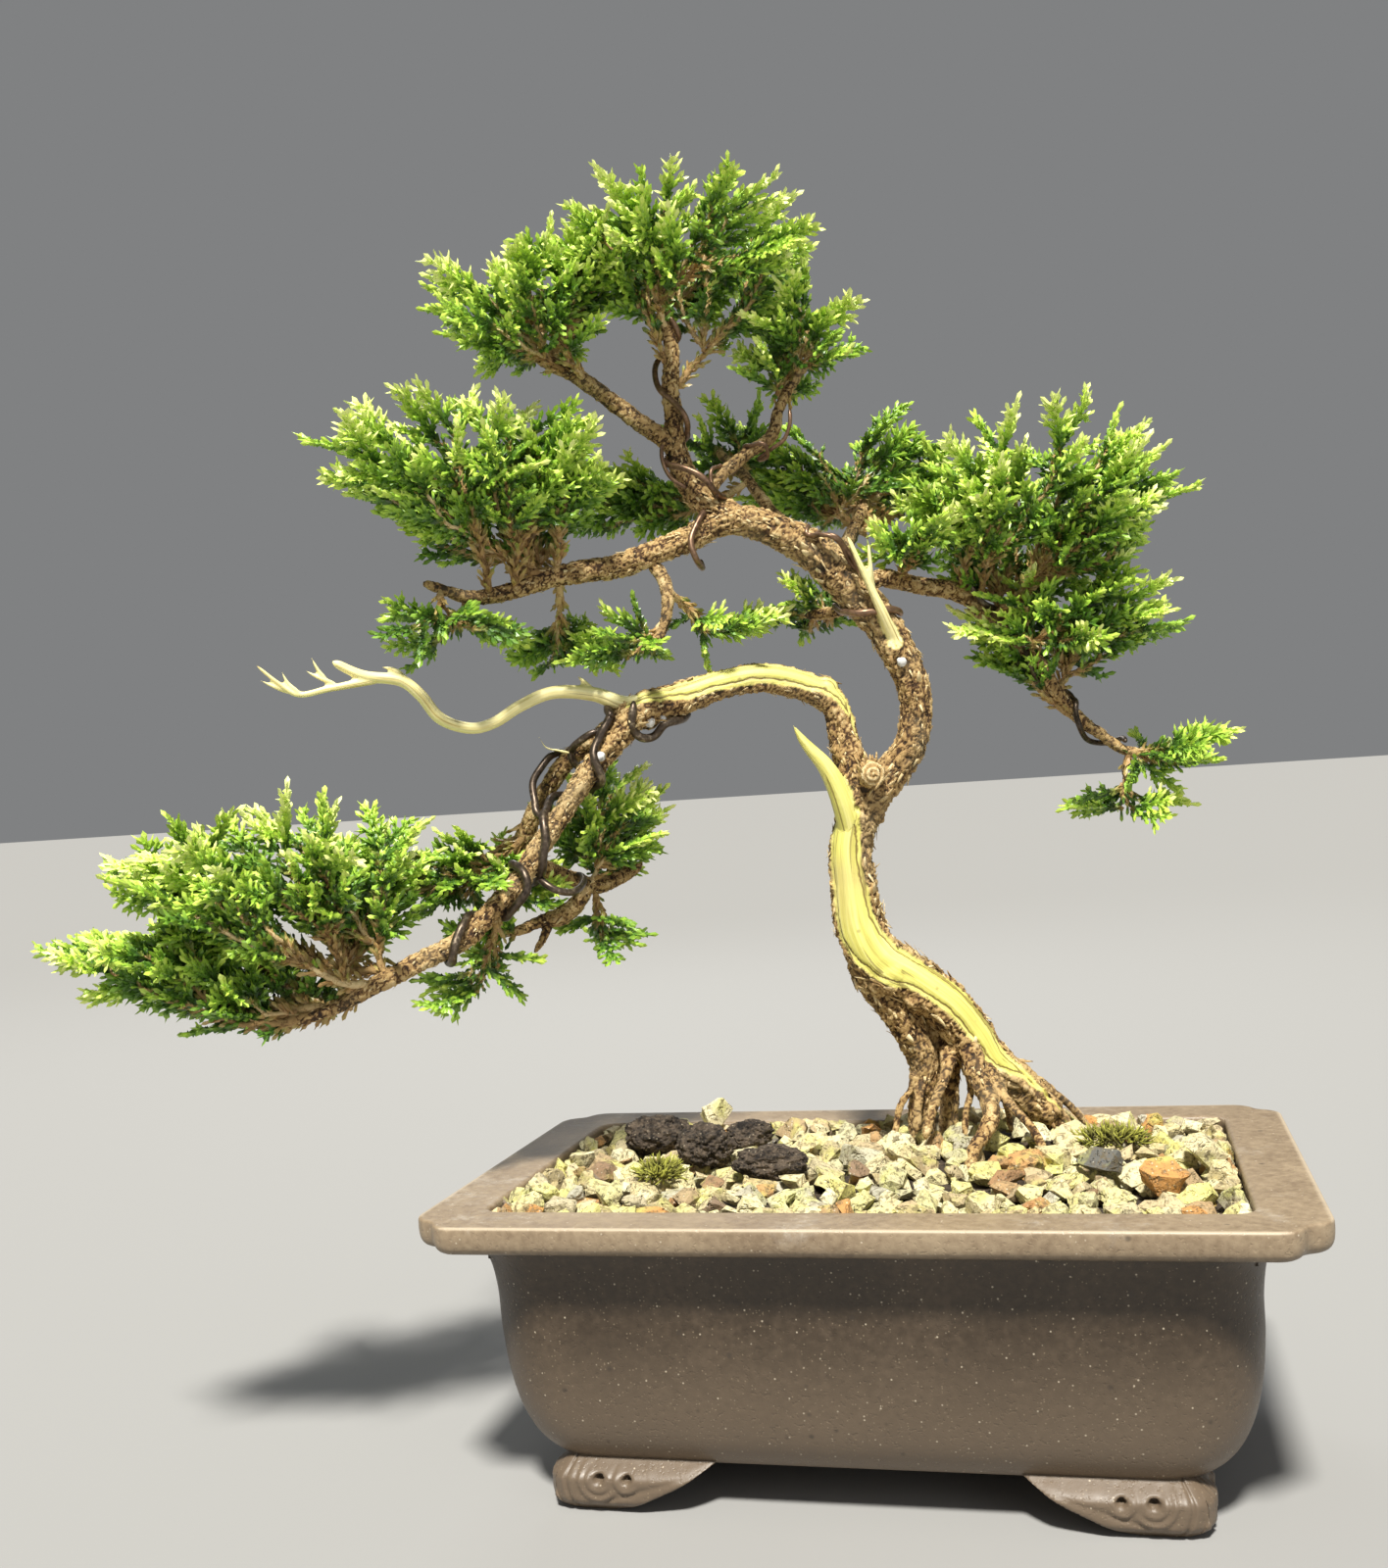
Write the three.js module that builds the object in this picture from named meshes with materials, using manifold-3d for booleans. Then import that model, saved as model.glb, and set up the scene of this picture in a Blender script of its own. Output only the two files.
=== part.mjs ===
// A juniper bonsai in a rectangular stoneware pot, in millimetres, +Z up.
// The sizes below are in the pot's own frame: its centre line is x = y = 0, its long sides run along X,
// and its feet stand on z = 0. The last lines move the whole group so that the origin is at the bottom
// centre of the box round the pot and the tree.
import * as THREE from "three";
import { mergeVertices } from "three/addons/utils/BufferGeometryUtils.js";
import Module from "manifold-3d";

const wasm = await Module();
wasm.setup();

// ---- Driving dimensions ----
const GAP = 0.4; // clear space between neighbouring pieces

const POT_HALF_LENGTH = 105; // to the outer edge of the lip
const POT_HALF_WIDTH = 65;
const POT_HEIGHT = 72; // floor to the top of the lip
const LIP_THICKNESS = 7;
const LIP_BEVEL = 0.8;
const RIM_WIDTH = 15.5; // flat top of the lip, from the outer edge to the opening
const WALL = 5.5;
const FLOOR_BOTTOM = 10; // underside of the pot's floor
const FLOOR_TOP = 16;
const WIDTH_INSET_SHARE = 0.75; // the long walls stand this much of the end walls' inset behind the lip

const CORNER_LOBE_RADIUS = 6.5; // each lip corner is a lobe, a hollow and a lobe
const CORNER_HOLLOW_RADIUS = 4;
const CORNER_LOBE_TURN = THREE.MathUtils.degToRad(70);

const FOOT_REACH = 42; // along a long side, from the foot's outer end to its thin end
const FOOT_SIDE_REACH = 26; // along an end
const FOOT_FLAT = [5, 17]; // the part that stands on the floor, from the outer end
const FOOT_THICKNESS = 8;
const FOOT_CORNER = [78, 50.5]; // outer corner of a foot, as half-sizes of the four together
const FOOT_ROOT = 3.5; // how far a foot runs up into the pot's floor
const FOOT_CORNER_RADIUS = 6;

const DRAIN_X = 45; // two drain holes on the long centre line
const DRAIN_RADIUS = 8;
const SCREEN_SIZE = 24;
const SCREEN_THICKNESS = 1;
const SCREEN_CELL = 3.4; // mesh opening
const SCREEN_PITCH = 5;

const SOIL_TOP = 60;
const GRIT_TOP = 69.5; // mean height of the top dressing
const GRIT_ROUGHNESS = 1.6;
const MOUND = { x: 28, y: 26, height: 5, spread: 34 }; // the dressing rises round the trunk

// ---- Woody parts: points of each centre line as [x, y, z, radius] ----
const TRUNK = [
  [52, 31, 64, 4], [47, 27, 75, 4.6], [39, 23, 86, 6], [32, 21, 98, 7.2], [25, 19, 109, 8],
  [17, 17, 117, 8.2], [6, 14, 123, 7.8], [-1, 12, 132, 7], [-3, 12, 144, 5.6], [-3, 12, 154, 5.4],
  [0, 13, 164, 5.6],
];
const SECOND_LEG = [[12, 17, 117, 6], [9, 19, 104, 4.6], [11, 22, 93, 4], [11, 24, 82, 3.8], [11, 25, 64, 3.6]];
const TRUNK_STUB = [[-1, 8, 163, 3], [-4, 5, 171, 2.3], [-8, 3, 177, 2], [-11, 1, 181, 1.5], [-14, -1, 186, 0.6]];
const SURFACE_ROOTS = [
  [[27, 14, 96, 3], [29, 11, 88, 2], [29, 8, 84, 1.8], [28, 4, 79, 1.8], [25, 1, 75, 1.7], [24, -5, 66, 1.3]],
  [[18, 16, 96, 2.4], [15, 13, 86, 1.8], [12, 11, 79, 1.6], [10, 8, 68, 1.3]],
  [[20, 19, 98, 3], [17, 21, 84, 2.2], [17, 21, 64, 2.2]],
  [[26, 19, 96, 2.4], [23, 17, 83, 1.3], [22, 15, 68, 1.1]],
  [[32, 18, 92, 3], [35, 14, 81, 1.5], [39, 10, 75, 1.3], [44, 6, 66, 1]],
  [[9, 22, 92, 2.2], [4, 19, 81, 1.3], [1, 16, 68, 1]],
  [[42, 25, 87, 3], [47, 29, 80, 1.5], [53, 33, 75, 1.1], [58, 36, 67, 0.9]],
];
const CASCADE_LIMB = [
  [-1, 13, 168, 5.4], [-2, 12, 175, 4.4], [-3, 12, 181, 3.8], [-4, 12, 188, 3.6], [-6, 11, 193, 3.6],
  [-12, 9, 197, 3.7], [-22, 5, 200, 3.7], [-33, 1, 199, 3.7], [-43, -3, 196, 4], [-51, -8, 194, 4.2],
  [-57, -11, 192, 4],
];
const DEAD_BRANCH = [
  [-57, -11, 194, 2.6], [-64, -14, 198, 2.2], [-74, -19, 199, 2], [-82, -22, 196, 1.9], [-89, -24, 192, 1.8],
  [-94, -27, 191, 1.8], [-101, -30, 194, 1.9], [-105, -32, 200, 1.9], [-109, -34, 204, 1.9],
  [-118, -38, 206, 1.7], [-125, -41, 210, 1.4],
];
const DEAD_TWIGS = [
  [[-116, -37, 205, 1.4], [-126, -42, 203, 1.1], [-133, -45, 202, 1], [-137, -47, 205, 0.8], [-142, -49, 210, 0.6]],
  [[-131, -44, 202, 1], [-136, -46, 206, 0.7], [-140, -48, 205, 0.6]],
  [[-124, -41, 204, 1], [-128, -43, 208, 0.7], [-129, -43, 211, 0.6]],
];
const CASCADE_BRANCH = [
  [-56, -11, 191, 4.2], [-61, -14, 184, 3.2], [-67, -18, 176, 2.5], [-73, -21, 167, 2.4], [-79, -25, 158, 2.4],
  [-83, -28, 151, 2.3], [-88, -32, 145, 2.3], [-95, -35, 138, 2.3], [-100, -39, 135, 2.3],
  [-107, -42, 132, 2.2], [-115, -46, 128, 2], [-125, -49, 123, 1.5], [-134, -53, 120, 1],
];
const CASCADE_BACK_BRANCH = [
  [-59, -10, 190, 3], [-66, -9, 186, 2.2], [-74, -8, 182, 2.2], [-81, -8, 174, 2.2], [-86, -8, 166, 2.1],
  [-90, -7, 159, 1.8], [-99, -6, 153, 1.3],
];
const CASCADE_SIDE_BRANCH = [
  [-82, -20, 155, 1.9], [-79, -13, 152, 2], [-75, -6, 149, 2], [-72, 1, 147, 2], [-66, 8, 149, 1.6], [-62, 12, 152, 1.2],
];
const CASCADE_LOW_TWIG = [[-77, -6, 148, 1.8], [-81, -5, 141, 2.4], [-87, -9, 137, 1.9], [-93, -14, 135, 1.2]];
const UPPER_LIMB = [
  [3, 13, 166, 4.6], [8, 15, 172, 4.3], [14, 15, 179, 4], [16, 15, 187, 3.8], [16, 14, 195, 4],
  [13, 13, 204, 4.3], [9, 12, 212, 4.5], [4, 11, 219, 4.8], [-2, 9, 227, 5], [-9, 7, 234, 4.8],
  [-17, 5, 239, 4.2], [-24, 4, 242, 3.8], [-29, 2, 243, 3.6],
];
const UPPER_STUB = [[11, 9, 210, 2], [9, 6, 217, 1.4], [7, 4, 224, 1.2], [5, 3, 230, 1.1], [3, 1, 235, 0.9]];
const LEFT_BRANCH = [
  [-28, 2, 243, 3.6], [-33, 0, 241, 3.2], [-40, -4, 237, 3], [-48, -8, 234, 2.9], [-57, -12, 231, 2.8],
  [-64, -16, 230, 2.7], [-71, -20, 229, 2.4], [-77, -23, 227, 2.2], [-83, -27, 225, 1.9], [-90, -31, 224, 1.6],
  [-95, -34, 226, 1.2], [-100, -37, 228, 0.9],
];
const UNDER_TWIG = [[-48, -8, 232, 1.6], [-45, -8, 227, 1.5], [-44, -9, 222, 1.4], [-45, -10, 215, 1.2], [-48, -12, 209, 0.9]];
const APEX_LEADER = [
  [-29, 2, 243, 3.4], [-34, 1, 247, 3.2], [-39, 0, 254, 3], [-41, -1, 262, 2.7], [-41, -2, 271, 2.2],
  [-41, -3, 279, 2], [-40, -3, 287, 1.7], [-41, -4, 298, 1.2], [-42, -4, 308, 0.9],
];
const APEX_LEFT_BRANCH = [
  [-41, -1, 262, 2.2], [-45, -3, 266, 2.2], [-50, -5, 270, 2.1], [-59, -9, 278, 2], [-65, -11, 283, 1.9],
  [-72, -14, 287, 1.6], [-79, -16, 293, 1.1],
];
const APEX_RIGHT_BRANCH = [
  [-35, 2, 251, 1.5], [-29, 4, 256, 1.3], [-24, 6, 260, 1.4], [-17, 9, 265, 1.4], [-15, 11, 272, 1.2],
  [-12, 13, 278, 1.1], [-7, 15, 285, 0.9],
];
const RIGHT_BRANCH = [
  [0, 14, 221, 2.2], [3, 20, 223, 2.2], [8, 24, 226, 2.2], [16, 28, 224, 2.1], [25, 31, 222, 2.1],
  [31, 33, 219, 2.2], [35, 34, 214, 2], [41, 34, 206, 1.9], [48, 35, 200, 1.8], [53, 37, 191, 1.6],
  [59, 38, 183, 1.4], [63, 39, 180, 1.3], [69, 40, 175, 1.1],
];
const BACK_BRANCH = [[-6, 9, 233, 2], [-12, 16, 238, 1.8], [-20, 20, 246, 1.4], [-29, 26, 259, 1.2], [-34, 29, 265, 0.9]];
const BACK_RIGHT_BRANCH = [[-4, 12, 230, 2.2], [-1, 24, 236, 1.9], [2, 36, 246, 1.5], [3, 42, 251, 1.2]];
const LOW_BACK_TWIG = [[3, 13, 220, 1.5], [-3, 22, 218, 1.3], [-11, 27, 218, 1.1]];

// ---- Foliage pads: centre and half-sizes ----
const PADS = {
  foliage_cascade_tip: { at: [-144, -50, 160], half: [42, 34, 16] },
  foliage_cascade_tongue: { at: [-178, -63, 139], half: [25, 19, 7] },
  foliage_cascade_underside: { at: [-156, -45, 129], half: [27, 25, 11] },
  foliage_cascade_middle: { at: [-106, -12, 156], half: [24, 25, 14] },
  foliage_cascade_right: { at: [-64, 17, 166], half: [17, 23, 18] },
  foliage_left: { at: [-93, -33, 258], half: [38, 33, 20] },
  foliage_left_low: { at: [-104, -41, 222], half: [13, 15, 8] },
  foliage_back_left: { at: [-64, 29, 256], half: [18, 21, 16] },
  foliage_under_left: { at: [-72, -6, 213], half: [13, 14, 10] },
  foliage_under_right: { at: [-38, -6, 218], half: [17, 15, 10] },
  foliage_back_low: { at: [-17, 35, 222], half: [13, 14, 10] },
  foliage_apex_left: { at: [-86, -16, 304], half: [22, 28, 18] },
  foliage_apex_centre: { at: [-35, -2, 321], half: [35, 34, 20] },
  foliage_apex_right: { at: [-3, 17, 294], half: [15, 22, 17] },
  foliage_back: { at: [-6, 56, 264], half: [38, 26, 19] },
  foliage_right: { at: [57, 38, 248], half: [38, 36, 23] },
  foliage_right_low: { at: [68, 41, 210], half: [23, 27, 17] },
  foliage_right_tip: { at: [84, 43, 172], half: [16, 15, 12] },
};

// ---- Training wires: how each one winds round its branch ----
const WIRES = {
  wire_cascade: { branch: CASCADE_BRANCH, from: 0.06, to: 0.72, turns: 7, radius: 1.1, start: 0 },
  wire_cascade_back: { branch: CASCADE_BACK_BRANCH, from: 0.12, to: 0.8, turns: 4, radius: 1, start: 2 },
  wire_cascade_side: { branch: CASCADE_SIDE_BRANCH, from: 0.3, to: 0.85, turns: 1.6, radius: 0.9, start: 1 },
  wire_upper_limb: { branch: UPPER_LIMB, from: 0.55, to: 0.74, turns: 1.6, radius: 0.8, start: 1.5 },
  wire_left_branch: { branch: LEFT_BRANCH, from: 0.08, to: 0.5, turns: 2.5, radius: 0.7, start: 0.5 },
  wire_apex: { branch: APEX_LEADER, from: 0.12, to: 0.66, turns: 3.5, radius: 0.7, start: 3 },
  wire_apex_right: { branch: APEX_RIGHT_BRANCH, from: 0.15, to: 0.75, turns: 2.5, radius: 0.5, start: 0 },
  wire_right_branch: { branch: RIGHT_BRANCH, from: 0.3, to: 0.9, turns: 5, radius: 0.8, start: 0 },
};

// ---- Loose pieces on the top dressing: centre, half-sizes and turn about Z ----
const FERTILISER_CAKES = [
  { at: [-64, 18, 75], half: [9, 7, 5.5], turn: 0.3 },
  { at: [-47, 5, 75], half: [8, 7, 6], turn: -0.5 },
  { at: [-25, -13, 74.5], half: [9, 6, 4.5], turn: 0.1 },
  { at: [-38, 20, 74.5], half: [7, 6, 4], turn: 0.8 },
];
const FEATURE_STONES = {
  stone_rust: { at: [73, -25, 73.2], half: [6, 4.5, 3.6], turn: 0.4 },
  stone_slate: { at: [59, -12, 73.4], half: [6.5, 4, 3.6], turn: -0.7 },
  stone_sand: { at: [82, -3, 74], half: [6.5, 6, 4.4], turn: 0.9 },
  stone_pale: { at: [-52, 42, 75], half: [5.5, 4.5, 5], turn: 0.2 },
  stone_grey: { at: [-4, -2, 73.6], half: [6, 4.5, 3.6], turn: -0.3 },
};
const MOSS_CLUMPS = {
  moss_left: { at: [-54, -16, 72.6], half: [7, 6, 2.6], turn: 0 },
  moss_right: { at: [62, 14, 73.6], half: [9, 6, 2.4], turn: 0.5 },
};

// ---- Materials ----
const standard = (color, roughness) => new THREE.MeshStandardMaterial({ color, roughness, metalness: 0 });
const STONEWARE = standard(0x5c4a3d, 0.62);
const BARK = standard(0x9a7346, 0.9);
const DEADWOOD = standard(0xd8c48c, 0.7);
const FOLIAGE = standard(0x5f9a2e, 0.6);
const GRIT = standard(0xb3a67e, 0.9);
const SOIL = standard(0x4a3a2a, 0.95);
const CAKE = standard(0x2a2420, 0.9);
const MOSS = standard(0x8a9a3a, 0.95);
const SCREEN = standard(0x20242a, 0.6);
const WIRE = new THREE.MeshStandardMaterial({ color: 0x4a3a30, roughness: 0.4, metalness: 0.9 });

// ---- Solids ----
const vector = ([x, y, z]) => new THREE.Vector3(x, y, z);

// A closed three.js geometry as a solid.
function solidOf(geometry) {
  const bare = geometry.clone();
  for (const name of Object.keys(bare.attributes)) if (name !== "position") bare.deleteAttribute(name);
  const merged = mergeVertices(bare, 1e-4);
  return new wasm.Manifold(
    new wasm.Mesh({
      numProp: 3,
      vertProperties: merged.attributes.position.array,
      triVerts: new Uint32Array(merged.index.array),
    }),
  );
}

// A solid back as a three.js geometry.
function geometryOf(solid) {
  const { vertProperties, triVerts } = solid.getMesh();
  const geometry = new THREE.BufferGeometry();
  geometry.setAttribute("position", new THREE.BufferAttribute(vertProperties, 3));
  geometry.setIndex(new THREE.BufferAttribute(triVerts, 1));
  geometry.computeVertexNormals();
  return geometry;
}

const union = (solids) => solids.reduce((all, one) => all.add(one));

// The largest separate body of a solid.
const largest = (solid) => solid.decompose().reduce((a, b) => (b.volume() > a.volume() ? b : a));

// A solid through rings that have equal numbers of points, with a flat cap on the first and the last.
function loft(rings) {
  const around = rings[0].length;
  const points = rings.flat();
  const index = [];
  for (let i = 0; i + 1 < rings.length; i++)
    for (let j = 0; j < around; j++) {
      const [a, b] = [i * around + j, i * around + ((j + 1) % around)];
      index.push(a, b, b + around, a, b + around, a + around);
    }
  const last = (rings.length - 1) * around;
  const centre = (ring) => ring.reduce((sum, p) => sum.add(p), new THREE.Vector3()).divideScalar(around);
  const [low, high] = [points.length, points.length + 1];
  points.push(centre(rings[0]), centre(rings[rings.length - 1]));
  for (let j = 0; j < around; j++) {
    const next = (j + 1) % around;
    index.push(low, next, j, high, last + j, last + next);
  }
  const geometry = new THREE.BufferGeometry().setFromPoints(points);
  geometry.setIndex(index);
  const solid = solidOf(geometry);
  return solid.volume() > 0 ? solid : solidOf(geometry.setIndex(index.reverse()));
}

// A smooth curve through a branch's points, with its radius anywhere along it.
function branchLine(points) {
  const curve = new THREE.CatmullRomCurve3(points.map(vector), false, "centripetal");
  const radiusAt = (t) => {
    const place = t * (points.length - 1);
    const i = Math.min(Math.floor(place), points.length - 2);
    return THREE.MathUtils.lerp(points[i][3], points[i + 1][3], place - i);
  };
  return { curve, radiusAt };
}

// A tapering branch. Grow makes it thicker and longer by that much, to cut its room from a neighbour.
function branch(points, grow = 0, sides = 8, stepsPerPoint = 1) {
  const { curve, radiusAt } = branchLine(points);
  const steps = (points.length - 1) * stepsPerPoint;
  const { normals, binormals, tangents } = curve.computeFrenetFrames(steps, false);
  const rings = [];
  for (let i = 0; i <= steps; i++) {
    const centre = curve.getPoint(i / steps);
    if (i === 0) centre.addScaledVector(tangents[i], -grow);
    if (i === steps) centre.addScaledVector(tangents[i], grow);
    rings.push(ringRound(centre, normals[i], binormals[i], radiusAt(i / steps) + grow, sides));
  }
  return loft(rings);
}

function ringRound(centre, normal, binormal, radius, sides) {
  return Array.from({ length: sides }, (_, k) => {
    const angle = (2 * Math.PI * k) / sides;
    return centre
      .clone()
      .addScaledVector(normal, radius * Math.cos(angle))
      .addScaledVector(binormal, radius * Math.sin(angle));
  });
}

// A wire wound round a branch, just clear of its bark.
const WIRE_SIDES = 6;
const WIRE_STEPS_PER_TURN = 9;
function wire({ branch: points, from, to, turns, radius, start }, grow = 0) {
  const { curve, radiusAt } = branchLine(points);
  const steps = Math.ceil(turns * WIRE_STEPS_PER_TURN);
  const frames = curve.computeFrenetFrames(200, false);
  const route = [];
  for (let i = 0; i <= steps; i++) {
    const t = THREE.MathUtils.lerp(from, to, i / steps);
    const frame = Math.round(t * 200);
    const angle = start + (2 * Math.PI * turns * i) / steps;
    const away = (radiusAt(t) + radius + GAP) / Math.cos(Math.PI / WIRE_STEPS_PER_TURN);
    route.push(
      curve
        .getPoint(t)
        .addScaledVector(frames.normals[frame], away * Math.cos(angle))
        .addScaledVector(frames.binormals[frame], away * Math.sin(angle)),
    );
  }
  const line = new THREE.CatmullRomCurve3(route);
  const { normals, binormals, tangents } = line.computeFrenetFrames(steps, false);
  return loft(
    tangents.map((tangent, i) => {
      const centre = line.getPoint(i / steps);
      if (i === 0) centre.addScaledVector(tangent, -grow);
      if (i === steps) centre.addScaledVector(tangent, grow);
      return ringRound(centre, normals[i], binormals[i], radius + grow, WIRE_SIDES);
    }),
  );
}

// A repeatable rough offset between -1 and 1 from a point.
const rough = (p, scale) =>
  Math.sin(p.x * scale + 1.7) * Math.sin(p.y * scale * 1.3 + 0.4) * Math.cos(p.z * scale * 0.9 - p.x * scale * 0.5);

// A rounded lump: a pad of foliage, a stone, a cake or a clump.
function lump({ at, half, turn = 0 }, grow = 0, detail = 1, roughness = 0.08, roughScale = 2.4) {
  const geometry = mergeVertices(stripped(new THREE.IcosahedronGeometry(1, detail)), 1e-4);
  const position = geometry.attributes.position;
  const p = new THREE.Vector3();
  for (let i = 0; i < position.count; i++) {
    p.fromBufferAttribute(position, i);
    p.multiplyScalar(1 + roughness * rough(p.clone().addScalar(at[0]), roughScale));
    p.set(p.x * (half[0] + grow), p.y * (half[1] + grow), p.z * (half[2] + grow));
    position.setXYZ(i, p.x, p.y, p.z);
  }
  geometry.rotateZ(turn);
  geometry.translate(...at);
  return solidOf(geometry);
}

function stripped(geometry) {
  geometry.deleteAttribute("normal");
  geometry.deleteAttribute("uv");
  return geometry;
}

// ---- Pot ----
const BODY_SIDES_PER_CORNER = 6;

// A rounded rectangle at one height, as a ring.
function rectangleRing(halfX, halfY, radius, z) {
  const ring = [];
  const corners = [[1, -1, -90], [1, 1, 0], [-1, 1, 90], [-1, -1, 180]];
  for (const [sx, sy, start] of corners)
    for (let i = 0; i < BODY_SIDES_PER_CORNER; i++) {
      const angle = THREE.MathUtils.degToRad(start + (90 * i) / (BODY_SIDES_PER_CORNER - 1));
      ring.push(
        new THREE.Vector3(
          sx * (halfX - radius) + radius * Math.cos(angle),
          sy * (halfY - radius) + radius * Math.sin(angle),
          z,
        ),
      );
    }
  return ring;
}

// How far the pot's end walls stand behind the lip's edge at each height, and their corner radius.
const BODY_PROFILE = [
  { z: FLOOR_BOTTOM, inset: 31, radius: 12 },
  { z: 11.5, inset: 26, radius: 14 },
  { z: 15, inset: 21.5, radius: 16 },
  { z: 21, inset: 18, radius: 18 },
  { z: 30, inset: 15.5, radius: 19 },
  { z: 42, inset: 14.2, radius: 19 },
  { z: 52, inset: 14, radius: 18 },
  { z: 60, inset: 12.6, radius: 17 },
  { z: POT_HEIGHT - LIP_THICKNESS + 1, inset: 10.5, radius: 16 },
];

function potBody(offset, bottom, top) {
  const insetAt = (z) => {
    const next = BODY_PROFILE.findIndex((p) => p.z >= z);
    const high = BODY_PROFILE[next < 0 ? BODY_PROFILE.length - 1 : Math.max(next, 1)];
    const low = BODY_PROFILE[BODY_PROFILE.indexOf(high) - 1];
    const share = THREE.MathUtils.clamp((z - low.z) / (high.z - low.z), 0, 1);
    return {
      inset: THREE.MathUtils.lerp(low.inset, high.inset, share),
      radius: THREE.MathUtils.lerp(low.radius, high.radius, share),
    };
  };
  const heights = [bottom, ...BODY_PROFILE.map((p) => p.z).filter((z) => z > bottom + 1 && z < top - 1), top];
  return loft(
    heights.map((z) => {
      const { inset, radius } = insetAt(z);
      return rectangleRing(
        POT_HALF_LENGTH - inset - offset,
        POT_HALF_WIDTH - inset * WIDTH_INSET_SHARE - offset,
        Math.max(radius - offset, 2),
        z,
      );
    }),
  );
}

// The lip's outline: straight sides between corners that are each a lobe, a hollow and a lobe.
function lipShape() {
  const points = [];
  const turns = [
    [CORNER_LOBE_RADIUS, CORNER_LOBE_TURN],
    [CORNER_HOLLOW_RADIUS, Math.PI / 2 - 2 * CORNER_LOBE_TURN],
    [CORNER_LOBE_RADIUS, CORNER_LOBE_TURN],
  ];
  const corner = [new THREE.Vector2(0, 0)];
  let heading = 0;
  for (const [radius, turn] of turns) {
    const steps = 4;
    const step = (2 * radius * Math.sin(Math.abs(turn) / steps / 2));
    for (let i = 0; i < steps; i++) {
      heading += turn / steps / 2;
      corner.push(corner.at(-1).clone().add(new THREE.Vector2(Math.cos(heading), Math.sin(heading)).multiplyScalar(step)));
      heading += turn / steps / 2;
    }
  }
  const size = corner.at(-1).x; // a corner takes the same length off both sides
  for (let quarter = 0; quarter < 4; quarter++) {
    const [halfAlong, halfAcross] =
      quarter % 2 ? [POT_HALF_WIDTH, POT_HALF_LENGTH] : [POT_HALF_LENGTH, POT_HALF_WIDTH];
    for (const p of corner)
      points.push(
        new THREE.Vector2(halfAlong - size + p.x, p.y - halfAcross).rotateAround(
          new THREE.Vector2(),
          (quarter * Math.PI) / 2,
        ),
      );
  }
  return new THREE.Shape(points);
}

function lip() {
  const shape = lipShape();
  const geometry = new THREE.ExtrudeGeometry(shape, {
    depth: LIP_THICKNESS - 2 * LIP_BEVEL,
    bevelThickness: LIP_BEVEL,
    bevelSize: LIP_BEVEL,
    bevelOffset: -LIP_BEVEL,
    bevelSegments: 1,
  });
  return solidOf(geometry.translate(0, 0, POT_HEIGHT - LIP_THICKNESS + LIP_BEVEL));
}

// One leg of a corner foot: a bracket that sweeps up from its flat to a thin end under the pot.
function footLeg(reach) {
  const shape = new THREE.Shape();
  const [heel, toe] = FOOT_FLAT;
  const top = FLOOR_BOTTOM + FOOT_ROOT;
  shape.moveTo(heel, 0);
  shape.lineTo(toe, 0);
  shape.quadraticCurveTo(toe + 3, 0.5, toe + 6, 2.5);
  shape.lineTo(reach, FLOOR_BOTTOM + 1);
  shape.lineTo(reach, top);
  shape.lineTo(1, top);
  shape.quadraticCurveTo(-1, 1, heel, 0);
  const geometry = new THREE.ExtrudeGeometry(shape, {
    depth: FOOT_THICKNESS,
    bevelEnabled: false,
    curveSegments: 3,
  });
  return solidOf(geometry.rotateX(Math.PI / 2).translate(0, FOOT_THICKNESS, 0));
}

// The foot under the near left corner, with its outer corner at the origin: a leg along each wall.
function foot() {
  const along = footLeg(FOOT_REACH);
  const across = footLeg(FOOT_SIDE_REACH).mirror([1, -1, 0]);
  const corner = rectangleRing(60, 60, FOOT_CORNER_RADIUS, -1).map((p) => p.add(new THREE.Vector3(60, 60, 0)));
  const rounded = loft([corner, corner.map((p) => p.clone().setZ(FLOOR_BOTTOM + FOOT_ROOT + 1))]);
  return along.add(across).intersect(rounded);
}

function pot() {
  const [footX, footY] = FOOT_CORNER;
  const nearLeft = foot().translate([-footX, -footY, 0]);
  const feet = [nearLeft, nearLeft.mirror([1, 0, 0]), nearLeft.mirror([0, 1, 0]), nearLeft.mirror([1, 0, 0]).mirror([0, 1, 0])];
  const drain = new THREE.CylinderGeometry(DRAIN_RADIUS, DRAIN_RADIUS, 2 * FLOOR_TOP, 16).rotateX(Math.PI / 2);
  const drains = [-DRAIN_X, DRAIN_X].map((x) => solidOf(drain.clone().translate(x, 0, FLOOR_TOP)));
  const opening = loft([
    rectangleRing(POT_HALF_LENGTH - RIM_WIDTH, POT_HALF_WIDTH - RIM_WIDTH, 5, SOIL_TOP - 4),
    rectangleRing(POT_HALF_LENGTH - RIM_WIDTH, POT_HALF_WIDTH - RIM_WIDTH, 5, POT_HEIGHT + 1),
  ]);
  return union([potBody(0, FLOOR_BOTTOM, POT_HEIGHT - LIP_THICKNESS + 1), lip(), ...feet])
    .subtract(potBody(WALL, FLOOR_TOP, SOIL_TOP))
    .subtract(opening)
    .subtract(union(drains));
}

// ---- Fill ----
function drainScreen(x) {
  const count = Math.floor(SCREEN_SIZE / SCREEN_PITCH) - 1;
  let plate = solidOf(new THREE.BoxGeometry(SCREEN_SIZE, SCREEN_SIZE, SCREEN_THICKNESS));
  for (let i = 0; i < count; i++)
    for (let j = 0; j < count; j++) {
      const cell = new THREE.BoxGeometry(SCREEN_CELL, SCREEN_CELL, 4 * SCREEN_THICKNESS);
      const offset = (k) => (k - (count - 1) / 2) * SCREEN_PITCH;
      plate = plate.subtract(solidOf(cell.translate(offset(i), offset(j), 0)));
    }
  return plate.translate([x, 0, FLOOR_TOP + GAP + SCREEN_THICKNESS / 2]);
}

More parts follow.
